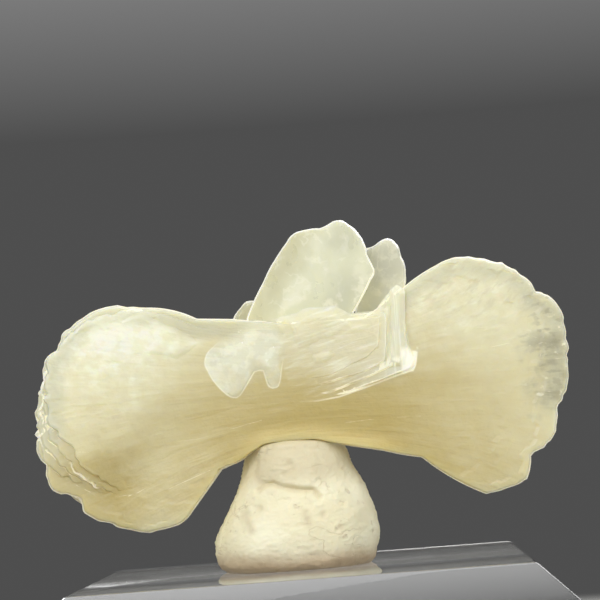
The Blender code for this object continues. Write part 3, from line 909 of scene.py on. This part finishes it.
# The ledges on the left fan's front, from the lowest up: name, chains, seed, half thickness, how far
# the rim stands out, points along and across, rim and dome.
LEDGES = [
    ("lower_step", LEFT_LOWER_STEP, 51, 0.33, 0.24, (60, 190), 0.07, 0.0),
    ("upper_step", LEFT_UPPER_STEP, 41, 0.3, 0.46, (60, 190), 0.07, 0.0),
    ("skirt", LEFT_SKIRT, 61, 0.28, 0.66, (60, 190), 0.07, 0.0),
    ("pillow", LEFT_PILLOW, 31, 0.3, 0.86, (84, 200), 0.12, 0.3),
]
# The leaves behind both fans, from the front one back: depth, degrees turned up, and size.
LEAVES = [(0.5, 1.5, 0.985), (1.3, -2.0, 0.97), (2.1, 1.0, 0.965), (2.8, -1.0, 0.93), (3.4, 2.0, 0.88)]
LEAF_HALF = 0.55
LEAST_DEPTH = 0.2
RIGHT_AHEAD = 0.3
LEDGE_HALF = 0.6
FINE_WIDTH = 0.5
# Fine bright lines on the front, painted as highlights, as paths of (x, z).
FINE_LINES = [
    [(-14.8, 17.4), (-14.2, 17.2), (-13.7, 16.55), (-12.95, 16.0), (-12.4, 15.9)],
    [(-14.0, 16.65), (-13.2, 15.95), (-12.25, 15.5), (-12.0, 15.0), (-10.8, 15.05)],
    [(-16.0, 18.55), (-15.65, 18.2), (-15.3, 17.8)],
    [(-15.8, 17.0), (-15.15, 16.5), (-14.4, 15.95), (-13.45, 15.4)],
    [(-7.6, 18.24), (-6.1, 18.3), (-4.8, 18.6), (-3.5, 18.9), (-2.0, 19.2)],
    [(-8.5, 15.2), (-7.3, 15.65), (-6.3, 16.0), (-5.5, 16.3)],
    [(-11.1, 14.95), (-10.3, 15.2), (-9.6, 15.6), (-9.0, 16.1)],
    [(-15.7, 19.6), (-15.2, 19.05), (-14.7, 18.55), (-14.3, 18.1), (-13.2, 17.95)],
    [(3.1, 18.6), (5.2, 18.7)], [(6.4, 18.7), (8.2, 18.65)],
    [(11.7, 24.05), (14.2, 23.95)], [(12.9, 22.7), (14.2, 22.9)],
    [(16.0, 21.9), (16.3, 22.4), (16.8, 22.6), (17.1, 22.3)], [(15.6, 23.2), (16.2, 23.0), (16.6, 23.3)],
    [(16.0, 21.64), (16.35, 21.62)], [(16.8, 21.66), (17.3, 21.62)], [(15.6, 19.75), (17.1, 19.47)],
]


def joined(name, meshes):
    """One closed mesh from several that overlap, with nothing left inside."""
    pieces = []
    for mesh in meshes:
        pieces.append(bpy.data.objects.new(mesh.name, mesh))
        bpy.context.collection.objects.link(pieces[-1])
    for other in pieces[1:]:
        union = pieces[0].modifiers.new(other.name, "BOOLEAN")
        union.operation = "UNION"
        union.solver = "MANIFOLD"
        union.object = other
    graph = bpy.context.evaluated_depsgraph_get()
    mesh = bpy.data.meshes.new_from_object(pieces[0].evaluated_get(graph))
    mesh.name = name
    mesh.materials.clear()
    for piece in pieces:
        bpy.data.objects.remove(piece)
    return smoothed(mesh, CREASE)


def places_of(mesh):
    """Where the points of a mesh are, in millimetres."""
    return np.array([vertex.co for vertex in mesh.vertices]) / MM


def mark_rims(mesh, rims):
    """Stores how far each point of the skin is from a plate's rim or from a fine line on the front."""
    corners = np.vstack([rim[:-1] + np.diff(rim, axis=0) * share for rim in rims for share in RIM_SHARES])
    tree = KDTree(len(corners))
    for number, corner in enumerate(corners):
        tree.insert(corner, number)
    tree.balance()
    places = places_of(mesh)
    distances = np.array([tree.find(place)[2] for place in places]) + RIM_SHIFT
    front = places[:, 1] < 0
    for line in FINE_LINES:
        near = distance_to(places[front][:, [0, 2]], np.array(line))
        distances[front] = np.minimum(distances[front], near * FINE_WIDTH + RIM_LINE)
    store(mesh, "rim_distance", np.minimum(distances, FAR))


def mark_outline(mesh, outlines):
    """Stores how far each point is from the outline that the eye sees."""
    seen = flat_view(places_of(mesh))
    distances = [distance_to(seen, outline) for outline in outlines]
    store(mesh, "outline_distance", np.minimum(np.min(distances, axis=0), FAR))


def mark_inside(mesh, name, outlines):
    """Stores how deep each point of the front lies inside one of the outlines."""
    places = places_of(mesh)
    ahead = places[:, 1] < FRONT_SIDE
    depths = np.full(len(places), -1.0)
    for outline in outlines:
        inside = depth_inside(places[ahead][:, [0, 2]], outlined(outline, SLAB_STEP))
        depths[ahead] = np.maximum(depths[ahead], inside)
    store(mesh, name, np.clip(depths, -1, FAR))


def sheaf_mesh():
    """The body, the ledges on its front and the plates behind both fans, grown together."""
    rims, outlines = [], []
    plates = [body(outlines)]
    for name, fan, seed, half, stand, mesh, rim, dome in LEDGES:
        plates.append(fan_plate(rims, name, fan, standing(fan, half, stand), half, seed, mesh, rim, dome,
                                height=0.05, lobes=0.18, crumbs=0.14))
    plates += [
        slab([], "frosted_ledge", FROSTED_LEDGE, 81, -2.6, 0.22, 0.25, swing=0.033, crumbs=0.1),
        slab([], "milky_crystal", MILKY_CRYSTAL, 91, -2.6, 0.3, 0.34, lean=0.045, ripple=0.04, dome=0.12,
             rounded=True),
    ]
    plates += cross_plates(rims)
    for k, (depth, degrees, shrink) in enumerate(LEAVES):
        left, right = turned(LEFT_LEAF, degrees, shrink), turned(RIGHT_LEAF, -degrees, shrink)
        right_depth = max(LEAST_DEPTH, depth - RIGHT_AHEAD)
        plates += [fan_plate(rims, f"left_{k}", left, behind(depth), LEAF_HALF, 100 + 10 * k),
                   fan_plate(rims, f"right_{k}", right, behind(right_depth), LEAF_HALF, 200 + 10 * k)]
    plates += [
        fan_plate(rims, "left_back_ledge", turned(LEFT_LEAF, -6.0, 0.72), behind(3.95), LEDGE_HALF, 171),
        fan_plate(rims, "right_back_ledge", turned(RIGHT_LEAF, 6.0, 0.7), behind(3.65), LEDGE_HALF, 271),
    ]
    mesh = joined("stilbite_sheaf", plates)
    mark_rims(mesh, rims)
    mark_outline(mesh, outlines)
    mark_inside(mesh, "frosted", [FROSTED_LEDGE])
    mark_inside(mesh, "pale", [CROSS_REAR, CROSS_UPPER, BUNDLE, TIP])
    mark_inside(mesh, "milky", [MILKY_CRYSTAL])
    return mesh


BUFF = (0.79, 0.75, 0.51, 1)
HONEY = (0.54, 0.435, 0.165, 1)
LIT_HONEY = (0.90, 0.755, 0.37, 1)
FROST_AND_HIGHLIGHT = (0.96, 0.97, 0.80, 1)
SHADED_BAND = (0.60, 0.565, 0.375, 1)
THIN_GREY = (0.60, 0.605, 0.47, 1)
SCRATCH = (0.60, 0.55, 0.37, 1)
MARGIN_GREY = (0.42, 0.40, 0.28, 1)
DARK_CHIP = (0.40, 0.38, 0.26, 1)
PALE_CHIP = (0.92, 0.89, 0.70, 1)
CROSS_BUFF = (0.77, 0.735, 0.53, 1)
BUNDLE_BUFF = (0.785, 0.785, 0.61, 1)
PALE_PLY = (0.93, 0.93, 0.78, 1)
TIP_CREAM = (1.0, 0.99, 0.85, 1)
MILK = (0.86, 0.865, 0.715, 1)
VEIL = (0.66, 0.65, 0.49, 1)
SPARK = (1.0, 1.0, 0.9, 1)
RIM_HIGHLIGHT = (1.0, 0.96, 0.77, 1)
RIM_LIGHT = (1.0, 0.95, 0.75, 1)
RIM_GLOW = 0.18
LAYER_BROWN = (0.60, 0.54, 0.34, 1)
UNLIT = (0, 0, 0, 1)
STILBITE_IOR = 1.5
HONEY_AT = (1.8, 18.4)
HONEY_REACH = (14.0, 6.5)
SPLAY_HEIGHT = 20.9
SPLAY_START = 7.5
SPLAY_HALF = 4.0


def apart(x, z, place, reach=(1, 1)):
    """How far a point of the front is from a place, as a share of the reach each way."""
    return (((x - place[0]) / reach[0]).squared() + ((z - place[1]) / reach[1]).squared()).root()


def sheaf_paint():
    paint = Paint("honey_stilbite")
    x, y, z = paint.millimetres()
    across = (z - SPLAY_HEIGHT) / ((1 + (x / SPLAY_START).squared()).root() * SPLAY_HALF)
    clouds = paint.spots(240, 5)
    cotton = paint.spots(900, 7)
    sugar = paint.spots(2300, 4)
    wool = paint.between(paint.spots(1400, 6), 0.34, 0.66)
    streaks = paint.drawn(5, across * 9 + clouds * 1.5, x * 0.22, y * 0.5)
    threads = paint.drawn(3, across * 42 + clouds * 3, x * 0.6, y * 1.2)
    dashes = paint.between(paint.drawn(4, across * 16 + cotton, x, y), 0.52, 0.66)
    mottle = (streaks - 0.5) * 0.8 + (clouds - 0.5) * 0.7 + (cotton - 0.5) * 0.5
    from_waist = apart(x, z, HONEY_AT, HONEY_REACH)
    outline_distance = paint.stored("outline_distance")

    # The thick waist and the low steps are honey, and light shines through where the waist thins out.
    honey = paint.between(from_waist + mottle * 0.4, 0.1, 1.3, 1, 0)
    steps = paint.between(x, -12.0, -9.0, 1, 0) * paint.between(z + mottle * 2, 16.5, 20.0, 1, 0)
    # The last term makes everything low down more honey, darker towards the bottom: painted shade under the
    # light from above.
    honey = honey + steps * 0.5 + paint.between(z + mottle * 2, 13.0, 19.0, 0.4, 0)
    lit = paint.between(outline_distance, 0.3, 1.5, 0.55, 0) * paint.between(from_waist, 0.25, 0.5, 1, 0)

    # Frost lies on the upper left fan, where its white is partly a painted highlight from the light above,
    # on its ledge, and thinly on the right one, with a band between.
    frost_and_highlight_left = paint.between(x, -11.0, -6.5, 1, 0) * paint.between(z + mottle * 5, 19.2, 24.6)
    frost_right = paint.between(x, 4.5, 9.0) * paint.between(z + mottle * 6, 20.5, 27.5) * 0.5
    ledge = paint.between(paint.stored("frosted"), -0.5, 0.7)
    frost_and_highlight = (frost_and_highlight_left + frost_right) * (wool * 0.5 + dashes * 0.45 + 0.35) + ledge * (wool * 0.4 + 0.4)
    band = paint.between(z + mottle * 1.5, 24.4, 25.4) * paint.within(x, -8.5, -6.0, -1.5, 0)
    band = band * paint.between(threads, 0.35, 0.65, 0.85, 0.5)

    # Thin rims are grey. The right fan has scratches above and a grey, chipped margin.
    thin = paint.between(outline_distance + mottle * 0.8, 0.5, 1.8, 1, 0)
    thin = thin * paint.between(from_waist, 0.8, 1.1) * paint.between(z, 16.5, 20.0, 0.15, 0.65)
    scratches = paint.drawn(5, (z * 0.8 - x * 0.6) * 2.6, (x * 0.8 + z * 0.6) * 0.8, y)
    scratched = paint.between(scratches, 0.5, 0.64) * paint.between(x, 8.0, 11.0)
    scratched = scratched * paint.between(z, 23.5, 26.5)
    margin = paint.between(x + mottle * 3, 14.4, 16.6) * paint.between(z + mottle * 3, 18.0, 19.5)
    grey = paint.between(cotton * 0.75 + threads * 0.25, 0.42, 0.58) * 0.5 + 0.35
    chips = paint.drawn(4, z * 2.2 + cotton, x * 1.1, y)

    # The short sheaf is pale above, streaked along its plates, with a bright tip to its bundle.
    lying = paint.drawn(4, (z - x * 0.25) * 4 + clouds, x * 0.5, y)
    upright = paint.drawn(4, x * 7 + clouds * 2, z * 0.35, y)
    bundled = paint.between(x, 5.8, 6.4)
    plies = lying * (1 - bundled) + upright * bundled
    in_sheaf = paint.stored("pale")
    sheaf = paint.between(in_sheaf, -0.12, 0.12)
    pale = sheaf * paint.between(z + x * 0.45 + (plies - 0.5) * 3, 20.8, 24.6)
    tip = sheaf * paint.between(x, 7.0, 7.35) * paint.between(z, 22.7, 23.3, 1, 0)

    # The milky crystal has sharp prongs below and merges into the body above.
    in_milk = paint.stored("milky")
    merging = paint.between(z + x * 0.35, 21.7, 23.2)
    milky = paint.between(in_milk, -0.05, 0.07) * (1 - merging)
    milky = milky + paint.between(in_milk, -0.1, 0.8) * merging
    milk = milky * paint.between(z - x * 0.5 + (cotton - 0.5) * 9, 21.0, 26.0, 0.35, 0.95)
    veiled = milky * paint.between(clouds * 0.5 + wool * 0.5, 0.45, 0.65) * 0.35
    sparks = paint.between(paint.spots(2400, 2), 0.66, 0.7) * merging * milky
    prongs = paint.within(in_milk, 0.0, 0.05, 0.05, 0.11) * (1 - merging)

    # Painted highlights, which also glow: broken lines along plate rims and the fine lines, the low edge of
    # the short sheaf, its bundle's tip, the milky crystal's prongs, and the outline nearly all round.
    broken = paint.between(paint.spots(500, 3), 0.36, 0.52, 0.2, 1)
    above_edge = z - x * 0.22
    softened = sheaf * (1 - paint.between(above_edge, 20.5, 21.5, 1, 0.12))
    plate_rims = paint.between(paint.stored("rim_distance"), 0.125, 0.155, 0.7, 0) * broken * (1 - softened)
    low_edge = paint.within(in_sheaf, -0.05, 0.0, 0.05, 0.11) * paint.between(above_edge, 20.5, 20.9, 1, 0)
    low_edge = low_edge * paint.between(x, 0.6, 2.6, 0, 0.45)
    outline = paint.between(outline_distance, 0.02, 0.1, 0.85, 0)
    outline = outline * paint.between(from_waist, 0.15, 0.8, 0.3, 1)
    edge = plate_rims + low_edge + outline + tip * 0.6 + prongs * 0.3
    layers = paint.drawn(3, x * 0.25 + clouds, y * 3.2, z * 0.25)
    at_edge = paint.between(outline_distance, 0.015, 0.045, 1, 0)

    color = paint.coats(
        BUFF, (honey, HONEY), (frost_and_highlight, FROST_AND_HIGHLIGHT), (band, SHADED_BAND), (thin, THIN_GREY), (lit, LIT_HONEY),
        (scratched * 0.35, SCRATCH), (margin * grey * paint.between(z, 22.6, 23.6, 1, 0.4), MARGIN_GREY),
        (paint.between(chips, 0.56, 0.64) * margin * 0.5, DARK_CHIP),
        (paint.between(chips, 0.32, 0.40, 1, 0) * margin * 0.7, PALE_CHIP),
        (pale * 0.85, CROSS_BUFF), (sheaf * bundled * 0.7, BUNDLE_BUFF),
        (pale * paint.between(plies, 0.48, 0.7) * (bundled * 0.3 + 0.5), PALE_PLY), (tip, TIP_CREAM),
        (milk, MILK), (veiled, VEIL), (sparks, SPARK), (edge, RIM_HIGHLIGHT),
        (at_edge * paint.between(layers, 0.44, 0.58, 0.75, 0), LAYER_BROWN),
    )
    skin = (streaks - 0.5) * 0.6 + (threads - 0.5) * 0.3 + (sugar - 0.5) * 0.5 + (cotton - 0.5) * 1.2
    skin = skin + at_edge * layers * 3
    paint.set(Base_Color=color, Metallic=0, IOR=STILBITE_IOR, Subsurface_Weight=0.9,
              Subsurface_Radius=(1.0, 0.85, 0.5), Subsurface_Scale=1.6 * MM,
              Roughness=paint.between(sugar, 0.3, 0.7, 0.34, 0.52) + edge * 0.3,
              Coat_Weight=0.1, Coat_Roughness=0.3, Normal=paint.bump(skin, 0.5, 0.14 * MM),
              Emission_Color=paint.blend(edge, UNLIT, RIM_LIGHT), Emission_Strength=RIM_GLOW)
    return paint


bow_tie = show("stilbite_sheaf", sheaf_mesh(), sheaf_paint())
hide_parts("stilbite_bow_tie")

# Blades on the waist: two upright tablets of clear, faintly clouded stilbite and a small nub behind
# them. They grew out of the bow tie, with sharp bevelled edges that catch the light.
TALL_BLADE = [
    (0.5, 22.0, 0.0), (4.0, 22.0, 0.0), (4.33, 25.7, 0.05), (5.6, 27.75, 0.1), (5.9, 28.45, 0.0),
    (5.5, 29.45, 0.05), (5.25, 30.55, 0.12), (4.05, 31.8, 0.05), (3.4, 31.8, -0.05), (2.5, 31.42, 0.05),
    (1.25, 31.34, 0.15), (0.3, 30.68, 0.1), (-1.55, 27.95, 0.05), (-2.67, 25.85, 0.0), (-2.2, 24.0, 0.0),
]
BACK_BLADE = [
    (3.6, 23.0, 0.0), (7.4, 23.6, 0.0), (7.75, 26.9, 0.05), (8.0, 28.2, 0.08), (7.8, 29.25, 0.1),
    (7.45, 30.25, 0.1), (6.9, 30.62, 0.05), (6.2, 30.4, -0.05), (5.4, 30.1, 0.0), (4.4, 26.0, 0.0),
]
BACK_NUB = [
    (-4.4, 24.5, 0.0), (-0.8, 24.5, 0.0), (-1.4, 27.0, 0.1), (-2.5, 27.2, 0.1), (-3.2, 26.8, 0.05),
    (-3.7, 26.1, 0.0),
]
BLADE_CREASE = 25
BLADE_LINE = 0.1
BLADE_LIGHT = (1.0, 0.98, 0.82, 1)
BLADE_RIM_HIGHLIGHT = (1.0, 0.99, 0.84, 1)
SIDE_SHADE = (0.665, 0.645, 0.43, 1)
FEATHER = (0.93, 0.915, 0.77, 1)
VEIN = (0.97, 0.96, 0.83, 1)
SPECK = (0.90, 0.89, 0.78, 1)
# The tall blade's left side: a place on it as (x, z), and the direction straight in from it.
SIDE_AT = (-2.67, 25.85)
SIDE_IN = (0.85, -0.52)
# A grey patch in a blade: its place as (x, z) and its reach.
TALL_PATCH = (4.0, 30.6), 1.6
BACK_PATCH = (7.1, 29.0), 2.6


def blade_paint(name, pale, shaded, see_through, glow, patch=TALL_PATCH, foot=0.6):
    """Clear stilbite with clouds and veins, a grey patch, a grey foot and a painted, glowing highlight
    along its rim.
    """
    paint = Paint(name)
    x, y, z = paint.millimetres()
    clouds = paint.drawn(5, x * 0.7 + 3, y * 0.5, z * 0.5)
    specks = paint.spots(1500, 4)
    mottle = (clouds - 0.5) * 3 + (specks - 0.5)
    beside = (x - SIDE_AT[0]) * SIDE_IN[0] + (z - SIDE_AT[1]) * SIDE_IN[1]
    left_side = paint.between(beside + mottle * 0.6, 0.5, 2.4, 0.8, 0)
    low_right = paint.between(x - (z - 25) * 0.35 + mottle, 1.2, 3.0)
    low_right = low_right * paint.between(z + mottle, 26.5, 30.0, 1, 0)
    place, reach = patch
    patched = paint.between(apart(x, z, place) + mottle * 0.5, 0.2 * reach, reach, 0.4, 0)
    grey = low_right * foot + patched
    feathers = paint.between(clouds + (specks - 0.5) * 0.4, 0.52, 0.64)
    feathers = feathers * paint.between(z + mottle, 25.5, 30.0, 0.8, 0.2) * paint.between(beside, 1.0, 2.2)
    veins = paint.between((paint.spots(650, 4) - 0.5).squared() * 1000, 0.05, 0.6, 1, 0)
    # A painted highlight along the rim, which also glows.
    edge = paint.between(paint.stored("rim_depth"), BLADE_LINE * 0.7, BLADE_LINE * 1.3, 1, 0)
    color = paint.coats(
        pale, (left_side, SIDE_SHADE), (grey, shaded), (feathers, FEATHER),
        (veins * paint.between(clouds, 0.45, 0.6) * 0.35, VEIN),
        (paint.between(specks, 0.52, 0.66) * grey, SPECK), (edge, BLADE_RIM_HIGHLIGHT),
    )
    paint.set(Base_Color=color, Metallic=0, IOR=STILBITE_IOR, Transmission_Weight=see_through,
              Roughness=paint.between(clouds, 0.3, 0.7, 0.25, 0.4), Subsurface_Weight=0.8,
              Subsurface_Radius=(1.0, 0.95, 0.75), Subsurface_Scale=0.7 * MM,
              Normal=paint.bump(clouds + specks * 0.15, 0.3, 0.14 * MM),
              Emission_Color=paint.blend(edge, UNLIT, BLADE_LIGHT), Emission_Strength=glow)
    return paint


def tablet(name, corners, paint, **shape):
    """One tablet as a piece of its own."""
    mesh = smoothed(slab([], name, corners, **shape), BLADE_CREASE)
    depths = depth_inside(places_of(mesh)[:, [0, 2]], outlined(corners, SLAB_STEP)) - shape["crumbs"]
    store(mesh, "rim_depth", np.clip(depths, 0, FAR))
    made = show(name, mesh, paint)
    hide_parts("stilbite_bow_tie")


clear_blade = blade_paint("clear_blade", pale=(0.81, 0.815, 0.64, 1), shaded=(0.62, 0.625, 0.48, 1),
                          see_through=0.08, glow=0.22)
grey_blade = blade_paint("grey_blade", pale=(0.80, 0.795, 0.67, 1), shaded=(0.44, 0.44, 0.35, 1),
                         see_through=0.12, glow=0.15, patch=BACK_PATCH, foot=0)
grey_nub = blade_paint("grey_nub", pale=(0.84, 0.83, 0.73, 1), shaded=(0.66, 0.66, 0.56, 1),
                       see_through=0.4, glow=0.15)
tablet("tall_blade", TALL_BLADE, clear_blade, y=-1.5, half=0.4, rim=0.13, lean=0.05, crumbs=0.015, seed=71)
tablet("back_blade", BACK_BLADE, grey_blade, y=1.0, half=0.4, rim=0.15, lean=0.04, crumbs=0.05, seed=75)
tablet("back_nub", BACK_NUB, grey_nub, y=1.3, half=0.6, rim=0.3, crumbs=0.03, seed=78)

# Floor and backdrop: a pale round table top under the object, which fades into a grey room that is
# darker below than above. Neither is part of the object.
FLOOR_REACH = 0.12
FLOOR_SINK = 0.02 * MM
TABLE_RADIUS = 0.062
TABLE_FADE = 0.03
TABLE_GREY = (0.72, 0.71, 0.68, 1)
ROOM_GREYS = [(0.145, (0.077, 0.077, 0.077)), (0.21, (0.2, 0.2, 0.2)), (0.42, (0.42, 0.42, 0.42))]


def floor_paint():
    paint = Paint("pale_table")
    distance = paint.node("ShaderNodeVectorMath", {"operation": "LENGTH"}, {0: paint.place()}, "Value")
    faded = paint.between(distance, TABLE_RADIUS, TABLE_RADIUS + TABLE_FADE)
    paint.set(Base_Color=TABLE_GREY, Roughness=0.6, Specular_IOR_Level=0.1, Alpha=1 - faded)
    return paint


floor_corners = [(x * FLOOR_REACH, y * FLOOR_REACH, 0) for x, y in ((-1, -1), (1, -1), (1, 1), (-1, 1))]
floor_mesh = bpy.data.meshes.new("table")
floor_mesh.from_pydata(floor_corners, [], [(0, 1, 2, 3)])
floor_mesh.materials.append(floor_paint().material)
floor = bpy.data.objects.new("table", floor_mesh)
floor.location.z = -FLOOR_SINK
bpy.context.collection.objects.link(floor)

world = bpy.data.worlds.new("room")
world.use_nodes = True
room = Shading(world.node_tree)
direction = room.node("ShaderNodeTexCoord", {}, {}, "Generated")
height = room.node("ShaderNodeSeparateXYZ", {}, {0: direction}, "Z")
greys = room.node("ShaderNodeValToRGB", {"stops": ROOM_GREYS}, {"Fac": height})
room.feed(room.tree.nodes["Background"].inputs["Color"], greys)
bpy.context.scene.world = world
bpy.context.scene.view_settings.view_transform = "Standard"

# Soft studio light: a large warm panel in front on the left, a faint one overhead, one behind on the
# right, whose light comes through the thin rims, and one in front on the right to fill the shade.
LOOK_AT = Vector((0, 0, 0.02))


def panel(name, place, size, watts, color=(1, 1, 1)):
    light = bpy.data.lights.new(name, "AREA")
    light.size = size
    light.energy = watts
    light.color = color
    lamp = bpy.data.objects.new(name, light)
    lamp.location = place
    lamp.rotation_euler = (LOOK_AT - lamp.location).to_track_quat("-Z", "Y").to_euler()
    bpy.context.collection.objects.link(lamp)


panel("key_panel", Vector((-0.15, -0.27, 0.18)), 0.26, 0.85, (1.0, 0.99, 0.96))
panel("top_panel", Vector((-0.03, 0.09, 0.26)), 0.16, 0.12)
panel("back_panel", Vector((0.12, 0.25, 0.2)), 0.2, 0.34)
panel("right_panel", Vector((0.25, -0.14, 0.12)), 0.2, 0.35)

# Camera: close to the object and a little under the crystal's middle, tipped as the photograph was.
FOCAL_PIXELS = 2224.0
PICTURE_PIXELS = 600.0
SENSOR_WIDTH = 36.0
CAMERA_PLACE = Vector(EYE) * MM
ROLL, YAW, PITCH = math.radians(4.4), math.radians(1.76), math.radians(3.81)

camera_data = bpy.data.cameras.new("camera")
camera_data.sensor_width = SENSOR_WIDTH
camera_data.lens = SENSOR_WIDTH * FOCAL_PIXELS / PICTURE_PIXELS
camera = bpy.data.objects.new("camera", camera_data)
forward = Vector((-math.sin(YAW) * math.cos(PITCH), math.cos(YAW) * math.cos(PITCH), math.sin(PITCH)))
level = Vector((math.cos(YAW), math.sin(YAW), 0))
upright = level.cross(forward)
right = level * math.cos(ROLL) - upright * math.sin(ROLL)
over = level * math.sin(ROLL) + upright * math.cos(ROLL)
turn = Matrix((right, over, -forward)).transposed()
camera.matrix_world = Matrix.Translation(CAMERA_PLACE) @ turn.to_4x4()
bpy.context.collection.objects.link(camera)
bpy.context.scene.camera = camera
